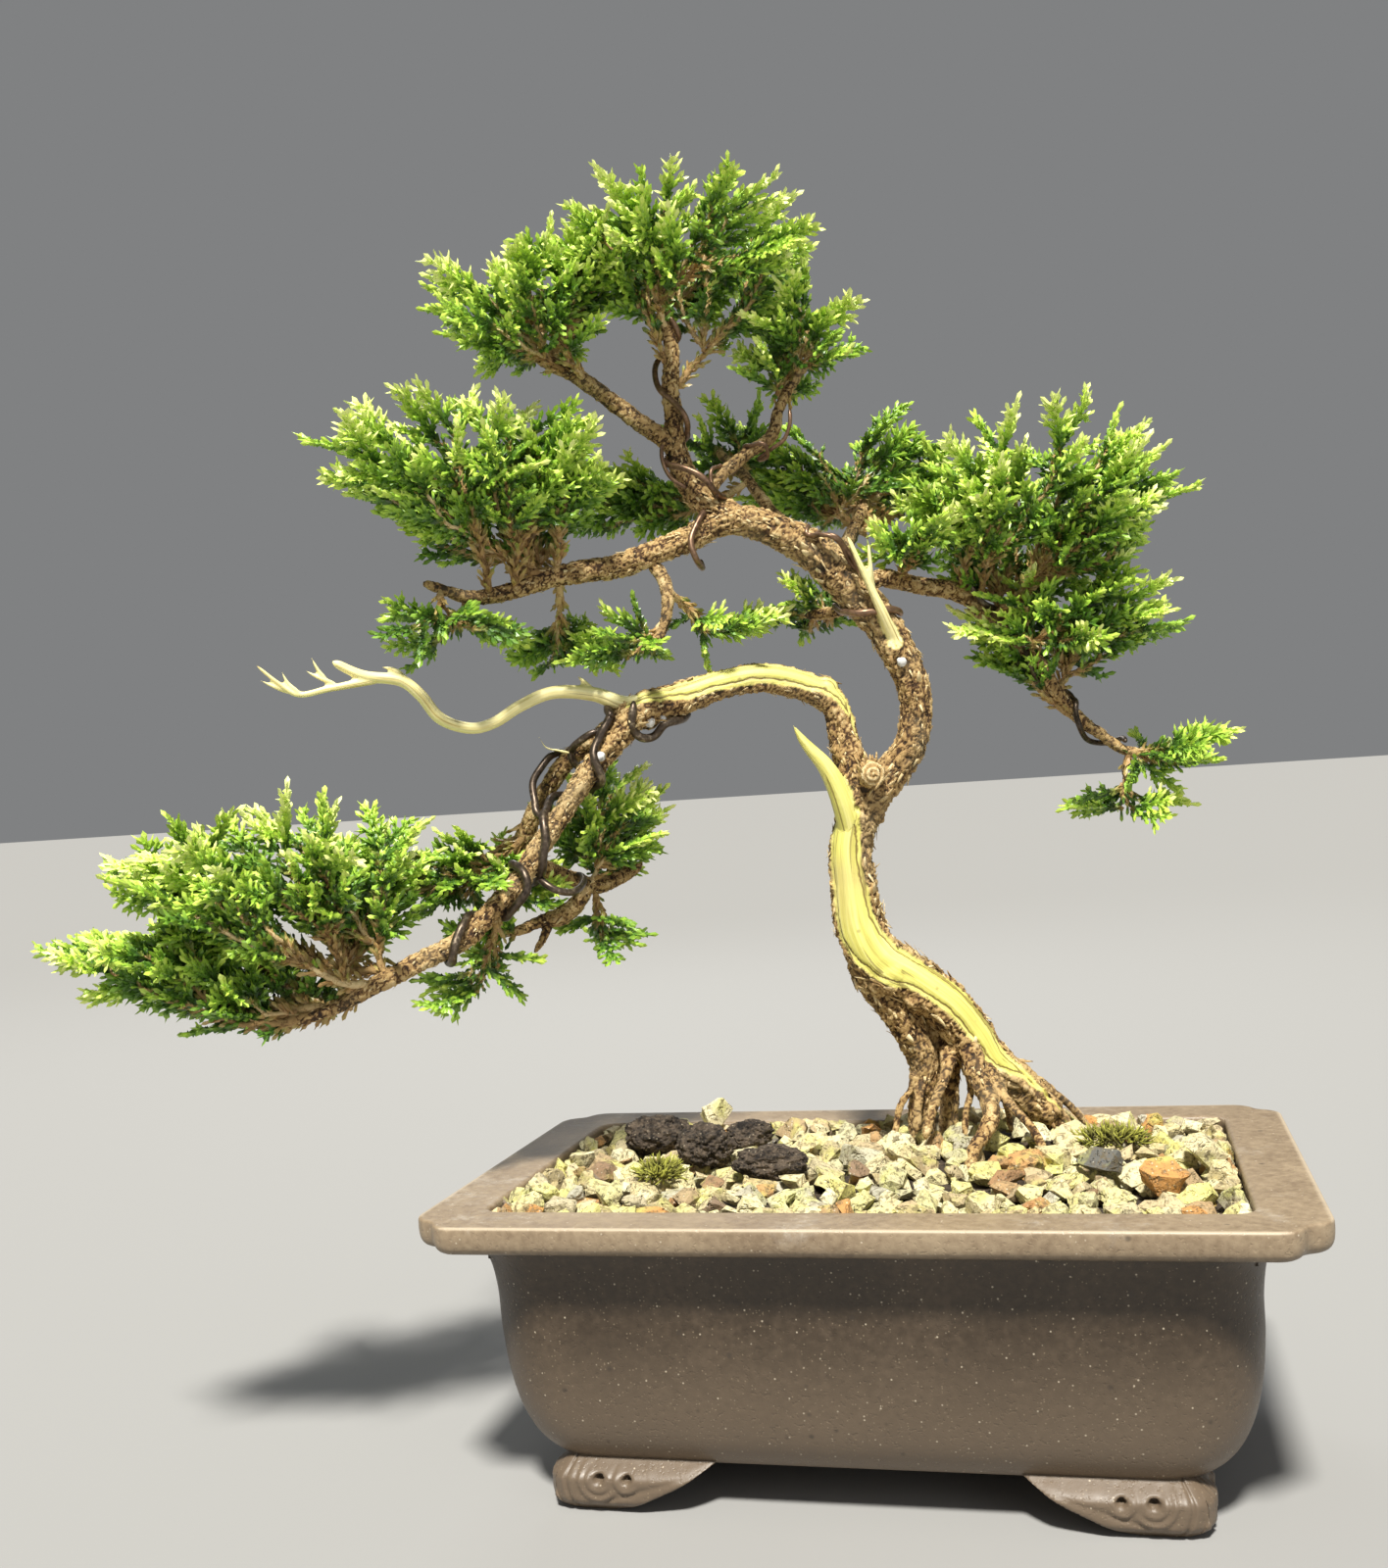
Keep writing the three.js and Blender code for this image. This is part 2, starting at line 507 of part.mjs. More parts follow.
function screenRoom(x) {
  const room = new THREE.BoxGeometry(SCREEN_SIZE + 2 * GAP, SCREEN_SIZE + 2 * GAP, SCREEN_THICKNESS + 2 * GAP);
  return solidOf(room).translate([x, 0, FLOOR_TOP + GAP + SCREEN_THICKNESS / 2]);
}

const soil = () => potBody(WALL + GAP, FLOOR_TOP + GAP, SOIL_TOP - GAP);

const GRIT_CELLS = [24, 14];
function grit() {
  const [length, width] = [2 * (POT_HALF_LENGTH - RIM_WIDTH), 2 * (POT_HALF_WIDTH - RIM_WIDTH)];
  const depth = GRIT_TOP - SOIL_TOP;
  const geometry = new THREE.BoxGeometry(length, width, depth, ...GRIT_CELLS, 1);
  geometry.translate(0, 0, SOIL_TOP + depth / 2);
  const position = geometry.attributes.position;
  const p = new THREE.Vector3();
  for (let i = 0; i < position.count; i++) {
    p.fromBufferAttribute(position, i);
    if (p.z < GRIT_TOP - 1) continue;
    const fromMound = Math.hypot(p.x - MOUND.x, p.y - MOUND.y) / MOUND.spread;
    const rise = MOUND.height * Math.exp(-fromMound * fromMound);
    position.setZ(i, p.z + rise + GRIT_ROUGHNESS * rough(p, 0.9));
  }
  const room = loft([
    rectangleRing(length / 2 - GAP, width / 2 - GAP, 5, SOIL_TOP - 1),
    rectangleRing(length / 2 - GAP, width / 2 - GAP, 5, POT_HEIGHT + 20),
  ]);
  return solidOf(geometry).intersect(room);
}

// ---- Assembly ----
const pieces = []; // each piece's node name, material and solid, and the room that later pieces leave for it

// Adds a piece, cut back from every earlier piece that it would touch. make(grow) gives its shape.
function add(name, material, make) {
  let solid = make(0);
  for (const earlier of pieces) solid = solid.subtract(earlier.room);
  solid = largest(solid);
  pieces.push({ name, material, solid, room: make(GAP) });
}

const branches = (...lines) => (grow) => union(lines.map((points) => branch(points, grow)));

add("pot", STONEWARE, pot);
for (const [side, x] of [["left", -DRAIN_X], ["right", DRAIN_X]])
  add("drain_screen_" + side, SCREEN, (grow) => (grow ? screenRoom(x) : drainScreen(x)));
add("trunk", BARK, branches(TRUNK, SECOND_LEG, TRUNK_STUB, ...SURFACE_ROOTS));
add("cascade_limb", BARK, branches(CASCADE_LIMB));
add("upper_limb", BARK, branches(UPPER_LIMB, UPPER_STUB));
add("dead_branch", DEADWOOD, branches(DEAD_BRANCH, ...DEAD_TWIGS));
add("cascade_branch", BARK, branches(CASCADE_BRANCH));
add("cascade_back_branch", BARK, branches(CASCADE_BACK_BRANCH));
add("cascade_side_branch", BARK, branches(CASCADE_SIDE_BRANCH, CASCADE_LOW_TWIG));
add("left_branch", BARK, branches(LEFT_BRANCH, UNDER_TWIG));
add("apex_leader", BARK, branches(APEX_LEADER));
add("apex_left_branch", BARK, branches(APEX_LEFT_BRANCH));
add("apex_right_branch", BARK, branches(APEX_RIGHT_BRANCH));
add("right_branch", BARK, branches(RIGHT_BRANCH));
add("back_branch", BARK, branches(BACK_BRANCH));
add("back_right_branch", BARK, branches(BACK_RIGHT_BRANCH));
add("low_back_twig", BARK, branches(LOW_BACK_TWIG));
for (const [name, winding] of Object.entries(WIRES)) add(name, WIRE, (grow) => wire(winding, grow));
for (const [name, pad] of Object.entries(PADS)) {
  const detail = pad.half[0] > 30 ? 2 : 1;
  add(name, FOLIAGE, (grow) => lump(pad, grow, detail));
}
FERTILISER_CAKES.forEach((cake, i) => add("fertiliser_cake_" + (i + 1), CAKE, (grow) => lump(cake, grow, 1, 0.12)));
for (const [name, stone] of Object.entries(FEATURE_STONES))
  add(name, GRIT, (grow) => lump(stone, grow, 1, 0.2, 3));
for (const [name, clump] of Object.entries(MOSS_CLUMPS)) add(name, MOSS, (grow) => lump(clump, grow, 1, 0.12));
add("soil", SOIL, soil);
add("grit_layer", GRIT, grit);

const bonsai = new THREE.Group();
for (const { name, material, solid } of pieces) {
  const mesh = new THREE.Mesh(geometryOf(solid), material);
  mesh.name = name;
  bonsai.add(mesh);
}

// The origin goes to the bottom centre of the box round everything.
const box = new THREE.Box3().setFromObject(bonsai);
const middle = box.getCenter(new THREE.Vector3());
bonsai.position.set(-middle.x, -middle.y, -box.min.z);

export default bonsai;
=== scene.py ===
"""A juniper bonsai in a stoneware pot.

Shapes are worked out in millimetres in the pot's own frame: its centre line is x = y = 0, its long sides
run along X, and its feet stand on z = 0. build_object() moves them to the frame's place for the pot, in
metres.
"""

import math

import bmesh
import bpy
import numpy as np
from mathutils import Matrix, Vector


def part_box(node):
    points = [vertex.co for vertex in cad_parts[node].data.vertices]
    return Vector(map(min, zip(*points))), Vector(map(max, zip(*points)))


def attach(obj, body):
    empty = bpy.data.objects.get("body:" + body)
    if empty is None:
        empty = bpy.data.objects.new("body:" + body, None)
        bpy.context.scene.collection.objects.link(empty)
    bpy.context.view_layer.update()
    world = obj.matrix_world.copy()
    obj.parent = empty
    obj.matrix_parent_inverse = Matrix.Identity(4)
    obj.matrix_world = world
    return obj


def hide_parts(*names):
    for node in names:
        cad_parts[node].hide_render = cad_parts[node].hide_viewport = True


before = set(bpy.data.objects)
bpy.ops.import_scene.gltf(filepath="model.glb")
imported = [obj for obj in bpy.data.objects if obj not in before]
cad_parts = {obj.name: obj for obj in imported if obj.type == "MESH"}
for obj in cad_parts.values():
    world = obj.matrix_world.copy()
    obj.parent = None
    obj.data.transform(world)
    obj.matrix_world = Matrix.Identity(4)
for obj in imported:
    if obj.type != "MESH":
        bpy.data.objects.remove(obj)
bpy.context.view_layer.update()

MM = 0.001
pot_low, pot_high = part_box("pot")
POT_CENTRE = np.array([(pot_low.x + pot_high.x) / 2, (pot_low.y + pot_high.y) / 2, pot_low.z]) / MM

# ---------------------------------------------------------------- camera, floor and lights

CAMERA_PLACE = (63.7, -414.8, 170.6)
CAMERA_YAW, CAMERA_PITCH, CAMERA_ROLL = 14.34, 0.31, -3.7  # degrees
CAMERA_LENS = 36.8
CAMERA_SENSOR = 36.0
SUN_POWER, SUN_ANGLE, SUN_COLOR = 6.6, 8, (1.0, 0.965, 0.90)
SUN_AIM = (-0.09, 0.60, -1.0)
SOFT_COLOR = (0.95, 0.97, 1.0)
LIGHTS_TARGET = (0.0, 0.0, 0.14)
WORLD_COLOR, WORLD_POWER = (0.60, 0.61, 0.62, 1), 0.36
FLOOR_COLOR, FLOOR_HALF = (0.31, 0.31, 0.303, 1), 40.0


def turn(axis, degrees):
    return Matrix.Rotation(math.radians(degrees), 4, axis)


def make_camera():
    data = bpy.data.cameras.new("camera")
    data.lens = CAMERA_LENS
    data.sensor_width = CAMERA_SENSOR
    camera = bpy.data.objects.new("camera", data)
    place = (np.array(CAMERA_PLACE) + POT_CENTRE) * MM
    aim = turn("Z", CAMERA_YAW) @ turn("X", 90 + CAMERA_PITCH) @ turn("Z", CAMERA_ROLL)
    camera.matrix_world = Matrix.Translation(place) @ aim
    bpy.context.scene.collection.objects.link(camera)
    bpy.context.scene.camera = camera


def add_light(data, aim, place=(0, 0, 0)):
    light = bpy.data.objects.new(data.name, data)
    light.location = place
    light.rotation_euler = Vector(aim).to_track_quat("-Z", "Y").to_euler()
    bpy.context.scene.collection.objects.link(light)


def make_soft_light(name, place, width, power):
    data = bpy.data.lights.new(name, "AREA")
    data.shape = "DISK"
    data.size = width
    data.energy = power
    data.color = SOFT_COLOR
    add_light(data, Vector(LIGHTS_TARGET) - Vector(place), place)


def make_lights():
    sun = bpy.data.lights.new("key_light", "SUN")
    sun.energy = SUN_POWER
    sun.angle = math.radians(SUN_ANGLE)
    sun.color = SUN_COLOR
    add_light(sun, SUN_AIM)
    make_soft_light("fill_light", (1.0, -0.9, 0.5), 0.7, 1.4)
    make_soft_light("back_light", (-0.35, 1.0, 0.95), 0.5, 3)
    world = bpy.data.worlds.new("studio")
    world.use_nodes = True
    background = world.node_tree.nodes["Background"]
    background.inputs["Color"].default_value = WORLD_COLOR
    background.inputs["Strength"].default_value = WORLD_POWER
    bpy.context.scene.world = world
    bpy.context.scene.view_settings.view_transform = "Standard"


# ---------------------------------------------------------------- noise and curves


def value_noise(points, seed):
    """Smooth noise from -1 to 1 at each point, with features one unit across."""
    cell = np.floor(points).astype(np.int64)
    part = points - cell
    part = part * part * (3 - 2 * part)
    total = np.zeros(len(points))
    for corner in np.ndindex(2, 2, 2):
        x, y, z = (cell + corner).T
        key = (x * 73856093 ^ y * 19349663 ^ z * 83492791 ^ (seed + 1) * 40503) & 0xFFFFFFFF
        key = ((key ^ (key >> 13)) * 1274126177) & 0xFFFFFFFF
        key = ((key ^ (key >> 15)) * 739982445) & 0xFFFFFFFF
        weight = np.prod(np.where(corner, part, 1 - part), axis=1)
        total += weight * ((key ^ (key >> 16)) / 0xFFFFFFFF * 2 - 1)
    return total


def fractal(points, octaves, seed):
    """Noise with finer and finer detail, from about -1 to 1."""
    total = sum(value_noise(points * 2**k, seed + k) * 0.55**k for k in range(octaves))
    return total / sum(0.55**k for k in range(octaves))


def smoothstep(low, high, value):
    share = np.clip((value - low) / (high - low), 0, 1)
    return share * share * (3 - 2 * share)


def unit(vectors):
    return vectors / np.maximum(np.linalg.norm(vectors, axis=-1, keepdims=True), 1e-9)


def walked_to(places):
    """The length walked to each point of a line of places."""
    return np.concatenate([[0], np.cumsum(np.linalg.norm(np.diff(places, axis=0), axis=1))])


def smooth_line(points, step):
    """A smooth curve through points [x, y, z, radius], with a point about every step millimetres."""
    given = np.array(points, float)
    places = given[:, :3]
    padded = np.vstack([2 * places[0] - places[1], places, 2 * places[-1] - places[-2]])
    pieces = []
    for i in range(len(given) - 1):
        a, b, c, d = padded[i : i + 4]
        knots = np.cumsum([0] + [np.linalg.norm(q - p) ** 0.5 for p, q in ((a, b), (b, c), (c, d))])
        count = max(2, round(np.linalg.norm(c - b) / step))
        share = np.arange(count)[:, None] / count
        t = knots[1] + (knots[2] - knots[1]) * share

        def blend(p, q, low, high):
            return ((high - t) * p + (t - low) * q) / (high - low)

        ab, bc, cd = blend(a, b, *knots[:2]), blend(b, c, *knots[1:3]), blend(c, d, *knots[2:])
        abc, bcd = blend(ab, bc, knots[0], knots[2]), blend(bc, cd, knots[1], knots[3])
        radius = given[i, 3] + (given[i + 1, 3] - given[i, 3]) * share
        pieces.append(np.hstack([blend(abc, bcd, knots[1], knots[2]), radius]))
    return np.vstack(pieces + [given[-1:]])


def carried_frames(line):
    """Along, side and up directions at each point of a line, turning as little as possible."""
    along = unit(np.gradient(line[:, :3], axis=0))
    side = np.empty_like(along)
    start = np.array([0.0, 0.0, 1.0]) if abs(along[0, 2]) < 0.9 else np.array([1.0, 0.0, 0.0])
    previous = start
    for i, direction in enumerate(along):
        previous = unit(previous - direction * (previous @ direction))
        side[i] = previous
    return along, side, np.cross(along, side)


# ---------------------------------------------------------------- meshes


class Shells:
    """Vertices, faces and per-vertex values of one or more closed shells."""

    def __init__(self):
        self.vertices, self.faces, self.values = [], [], {}
        self.count = 0

    def add(self, vertices, faces, **values):
        """Adds a shell. faces is a list of arrays, one row of vertex numbers a face."""
        self.vertices.append(vertices)
        self.faces += [rows + self.count for rows in faces if len(rows)]
        for name, value in values.items():
            self.values.setdefault(name, []).append(np.broadcast_to(value, (len(vertices),)))
        self.count += len(vertices)


def build_object(name, shells, smooth=True):
    """A Blender object from shells in millimetres in the pot's frame."""
    vertices = np.vstack(shells.vertices)
    sizes = np.concatenate([np.full(len(rows), rows.shape[1]) for rows in shells.faces])
    corners = np.concatenate([rows.ravel() for rows in shells.faces])
    mesh = bpy.data.meshes.new(name)
    mesh.vertices.add(len(vertices))
    mesh.vertices.foreach_set("co", ((vertices + POT_CENTRE) * MM).astype(np.float32).ravel())
    mesh.loops.add(len(corners))
    mesh.loops.foreach_set("vertex_index", corners.astype(np.int32))
    mesh.polygons.add(len(sizes))
    mesh.polygons.foreach_set("loop_start", np.concatenate([[0], np.cumsum(sizes)[:-1]]).astype(np.int32))
    mesh.polygons.foreach_set("use_smooth", np.full(len(sizes), smooth))
    mesh.update(calc_edges=True)
    mesh.validate()
    for value_name, parts in shells.values.items():
        attribute = mesh.attributes.new(value_name, "FLOAT", "POINT")
        attribute.data.foreach_set("value", np.concatenate(parts).astype(np.float32))
    built = bpy.data.objects.new(name, mesh)
    bpy.context.scene.collection.objects.link(built)
    return built


def mesh_arrays(built):
    """Vertices in millimetres in the pot's frame, normals, and faces by size, with modifiers applied."""
    evaluated = built.evaluated_get(bpy.context.evaluated_depsgraph_get())
    mesh = evaluated.to_mesh()
    vertices = np.empty(len(mesh.vertices) * 3, np.float32)
    mesh.vertices.foreach_get("co", vertices)
    normals = np.empty(len(mesh.vertices) * 3, np.float32)
    mesh.vertices.foreach_get("normal", normals)
    corners = np.empty(len(mesh.loops), np.int32)
    mesh.loops.foreach_get("vertex_index", corners)
    sizes = np.empty(len(mesh.polygons), np.int32)
    mesh.polygons.foreach_get("loop_total", sizes)
    starts = np.concatenate([[0], np.cumsum(sizes)[:-1]])
    faces = [corners[starts[sizes == n][:, None] + np.arange(n)] for n in np.unique(sizes)]
    evaluated.to_mesh_clear()
    return vertices.reshape(-1, 3) / MM - POT_CENTRE, normals.reshape(-1, 3), faces


def fuse(shells, voxel):
    """Crossing shells melted into one surface with faces about one voxel across."""
    scratch = build_object("scratch", shells)
    remesh = scratch.modifiers.new("fuse", "REMESH")
    remesh.mode = "VOXEL"
    remesh.voxel_size = voxel * MM
    result = mesh_arrays(scratch)
    bpy.data.objects.remove(scratch)
    return result


def ring_faces(rings, around):
    """Quads of a tube through rings of equal size, with a fan-free cap of one face at each end."""
    low = np.arange(around)
    high = (low + 1) % around
    rows = np.arange(rings - 1)[:, None] * around
    quads = np.stack([rows + low, rows + high, rows + around + high, rows + around + low], axis=-1)
    last = (rings - 1) * around
    return [quads.reshape(-1, 4), low[None, ::-1], low[None] + last]


def tube(line, sides):
    """A closed tube along a line of [x, y, z, radius]."""
    along, side, up = carried_frames(line)
    angle = np.arange(sides) * 2 * math.pi / sides
    spread = side[:, None] * np.cos(angle)[None, :, None] + up[:, None] * np.sin(angle)[None, :, None]
    vertices = line[:, None, :3] + spread * line[:, 3][:, None, None]
    return vertices.reshape(-1, 3), ring_faces(len(line), sides)


def rounded_ends(line):
    """The line with its ends drawn in to a blunt point."""
    ends = np.ones(len(line))
    for i, share in enumerate((0.35, 0.75, 0.93)):
        if len(line) > 2 * i + 2:
            ends[i] = ends[-1 - i] = share
    return np.hstack([line[:, :3], line[:, 3:] * ends[:, None]])


def icosphere(detail):
    shape = bmesh.new()
    bmesh.ops.create_icosphere(shape, subdivisions=detail, radius=1)
    vertices = np.array([v.co[:] for v in shape.verts])
    faces = np.array([[v.index for v in f.verts] for f in shape.faces])
    shape.free()
    return vertices, faces


def turned(vertices, axis, degrees):
    return vertices @ np.array(Matrix.Rotation(math.radians(degrees), 3, axis)).T


# ---------------------------------------------------------------- materials


class Nodes:
    """Adds nodes to a material or a group, with inputs given by value or by the socket that feeds them."""

    def __init__(self, tree):
        self.tree = tree

    def add(self, kind, inputs=(), **settings):
        node = self.tree.nodes.new(kind)
        for name, value in settings.items():
            setattr(node, name, value)
        for name, value in dict(inputs).items():
            if isinstance(value, bpy.types.NodeSocket):
                self.tree.links.new(value, node.inputs[name])
            else:
                node.inputs[name].default_value = value
        return node

    def object_place(self):
        return self.add("ShaderNodeTexCoord").outputs["Object"]

    def value_of(self, name):
        return self.add("ShaderNodeAttribute", attribute_name=name).outputs["Fac"]

    def noise(self, scale, detail=3.0, vector=None, roughness=0.55):
        inputs = {"Vector": vector or self.object_place(), "Scale": scale, "Detail": detail}
        return self.add("ShaderNodeTexNoise", {**inputs, "Roughness": roughness}).outputs["Fac"]

    def mapped(self, value, low, high, to_low=0.0, to_high=1.0):
        inputs = {"Value": value, "From Min": low, "From Max": high, "To Min": to_low, "To Max": to_high}
        return self.add("ShaderNodeMapRange", inputs).outputs["Result"]

    def ramp(self, value, stops):
        node = self.add("ShaderNodeValToRGB", {"Fac": value})
        ramp = node.color_ramp
        while len(ramp.elements) < len(stops):
            ramp.elements.new(0.5)
        for element, (place, color) in zip(ramp.elements, stops):
            element.position = place
            element.color = (*color, 1)
        return node.outputs["Color"]

    def mix(self, share, first, second, blend="MIX"):
        node = self.add("ShaderNodeMix", data_type="RGBA", blend_type=blend)
        for index, value in ((0, share), (6, first), (7, second)):
            if isinstance(value, bpy.types.NodeSocket):
                self.tree.links.new(value, node.inputs[index])
            else:
                node.inputs[index].default_value = (*value, 1) if isinstance(value, tuple) else value
        return node.outputs[2]

    def math(self, operation, first, second=0.0):
        node = self.add("ShaderNodeMath", {0: first, 1: second}, operation=operation)
        return node.outputs[0]

    def group(self, tree, inputs):
        return self.add("ShaderNodeGroup", inputs, node_tree=tree).outputs

    def bump(self, height, strength, distance):
        inputs = {"Height": height, "Strength": strength, "Distance": distance}
        return self.add("ShaderNodeBump", inputs).outputs["Normal"]


def new_group(name, inputs, outputs):
    """A node group with number inputs {name: default} and number outputs."""
    tree = bpy.data.node_groups.new(name, "ShaderNodeTree")
    for socket, default in inputs.items():
        made = tree.interface.new_socket(socket, in_out="INPUT", socket_type="NodeSocketFloat")
        made.default_value = default
    for socket in outputs:
        tree.interface.new_socket(socket, in_out="OUTPUT", socket_type="NodeSocketFloat")
    nodes = Nodes(tree)
    start = nodes.add("NodeGroupInput").outputs
    return tree, nodes, start


def finish_group(nodes, results):
    nodes.add("NodeGroupOutput", results)


def speckle_group():
    """Small scattered specks: a mask that is 1 on a speck."""
    tree, nodes, start = new_group("Speckle", {"Scale": 600.0, "Amount": 0.2}, ["Mask"])
    cells = nodes.add(
        "ShaderNodeTexVoronoi", {"Vector": nodes.object_place(), "Scale": start["Scale"]}, feature="F1"
    )
    lot = nodes.add("ShaderNodeSeparateColor", {"Color": cells.outputs["Color"]}).outputs["Red"]
    chosen = nodes.math("LESS_THAN", lot, start["Amount"])
    near = nodes.mapped(cells.outputs["Distance"], 0.12, 0.3, 1.0, 0.0)
    finish_group(nodes, {"Mask": nodes.math("MULTIPLY", chosen, near)})
    return tree


def mottle_group():
    """Broad and fine unevenness of tone, from 0 to 1."""
    tree, nodes, start = new_group("Mottle", {"Broad": 30.0, "Fine": 300.0}, ["Tone"])
    broad = nodes.noise(start["Broad"], 4)
    fine = nodes.noise(start["Fine"], 4)
    mean = nodes.math("MULTIPLY", nodes.math("ADD", broad, fine), 0.5)
    finish_group(nodes, {"Tone": nodes.mapped(mean, 0.35, 0.65)})
    return tree


def grit_bump_group():
    """The height of a rough, pitted surface."""
    tree, nodes, start = new_group("Rough surface", {"Grain": 900.0, "Pits": 300.0}, ["Height"])
    grain = nodes.noise(start["Grain"], 5, roughness=0.7)
    pits = nodes.mapped(nodes.noise(start["Pits"], 2), 0.3, 0.42)
    finish_group(nodes, {"Height": nodes.math("ADD", nodes.math("MULTIPLY", grain, 0.5), pits)})
    return tree


SPECKLE, MOTTLE, ROUGH_SURFACE = speckle_group(), mottle_group(), grit_bump_group()


def new_material(name, roughness=0.7):
    material = bpy.data.materials.new(name)
    material.use_nodes = True
    shader = material.node_tree.nodes["Principled BSDF"]
    shader.inputs["Roughness"].default_value = roughness
    return material, Nodes(material.node_tree), shader


def connect(nodes, shader, **sockets):
    """Feeds the shader's inputs; Base_Color stands for Base Color."""
    for name, socket in sockets.items():
        nodes.tree.links.new(socket, shader.inputs[name.replace("_", " ")])


def stoneware():
    """Unglazed grey-brown clay with pale specks, a low sheen and mineral bloom; the body is painted darker
    under the lip as painted shade and lighter lower down as painted light, and the lip and its top edge are
    painted paler, partly wear and partly a painted highlight.
    """
    material, nodes, shader = new_material("unglazed_stoneware")
    tone = nodes.group(MOTTLE, {"Broad": 26.0, "Fine": 520.0})["Tone"]
    clay = nodes.ramp(
        tone, [(0, (0.032, 0.021, 0.012)), (0.5, (0.047, 0.032, 0.019)), (1, (0.073, 0.051, 0.032))]
    )
    height = nodes.add("ShaderNodeSeparateXYZ", {"Vector": nodes.object_place()}).outputs["Z"]
    lip = nodes.mapped(height, 0.0645, 0.0670)
    # The lip is painted paler: partly wear, partly a painted highlight on the lit lip.
    worn_and_lit_lip = nodes.mix(nodes.mapped(tone, 0.1, 0.9), (0.205, 0.147, 0.091), (0.325, 0.248, 0.160))
    clay = nodes.mix(lip, clay, worn_and_lit_lip)
    # Painted light and shade: the body is painted lighter towards the bottom and stays darker above, as
    # painted shade under the lip.
    low = nodes.mapped(height, 0.046, 0.020, 0.0, 0.6)
    clay = nodes.mix(low, clay, (0.190, 0.140, 0.094))
    sand = nodes.group(SPECKLE, {"Scale": 1300.0, "Amount": 0.22})["Mask"]
    clay = nodes.mix(nodes.math("MULTIPLY", sand, 0.45), clay, (0.34, 0.27, 0.18))
    pale = nodes.group(SPECKLE, {"Scale": 1000.0, "Amount": 0.045})["Mask"]
    clay = nodes.mix(nodes.math("MULTIPLY", pale, 0.65), clay, (0.62, 0.54, 0.41))
    dark = nodes.group(SPECKLE, {"Scale": 340.0, "Amount": 0.03})["Mask"]
    clay = nodes.mix(nodes.math("MULTIPLY", dark, 0.6), clay, (0.04, 0.03, 0.022))
    near_top = nodes.mapped(height, 0.0655, 0.0715)
    smudges = nodes.mapped(nodes.noise(34, 8, roughness=0.72), 0.55, 0.72)
    streaks = nodes.mapped(nodes.noise(190, 6, roughness=0.8), 0.42, 0.68)
    bloom = nodes.math("MULTIPLY", nodes.math("MULTIPLY", smudges, streaks), near_top)
    clay = nodes.mix(nodes.math("MULTIPLY", bloom, 0.85), clay, (0.66, 0.62, 0.55))
    # The lip's top edge is painted pale: partly wear, partly a painted highlight.
    clay = nodes.mix(nodes.math("MULTIPLY", nodes.value_of("edge"), 0.75), clay, (0.52, 0.43, 0.31))
    rough = nodes.mapped(tone, 0, 1, 0.38, 0.52)
    bumps = nodes.group(ROUGH_SURFACE, {"Grain": 1400.0, "Pits": 800.0})["Height"]
    connect(nodes, shader, Base_Color=clay, Roughness=rough, Normal=nodes.bump(bumps, 0.3, 0.0003))
    return material


def grain_lines_group():
    """Wood grain: fine streaks along a branch, and the few dark lines among them."""
    inputs = {"Width": 0.9, "Line share": 0.4}
    tree, nodes, start = new_group("Wood grain", inputs, ["Streaks", "Lines"])
    place = nodes.add("ShaderNodeAttribute", attribute_name="grain").outputs["Vector"]
    streaks = nodes.noise(start["Width"], 4, place)
    marks = nodes.noise(nodes.math("MULTIPLY", start["Width"], 0.8), 2, place, 0.4)
    low = nodes.math("SUBTRACT", start["Line share"], 0.03)
    lines = nodes.mapped(marks, low, start["Line share"], 1.0, 0.0)
    finish_group(nodes, {"Streaks": streaks, "Lines": lines})
    return tree


GRAIN_LINES = grain_lines_group()


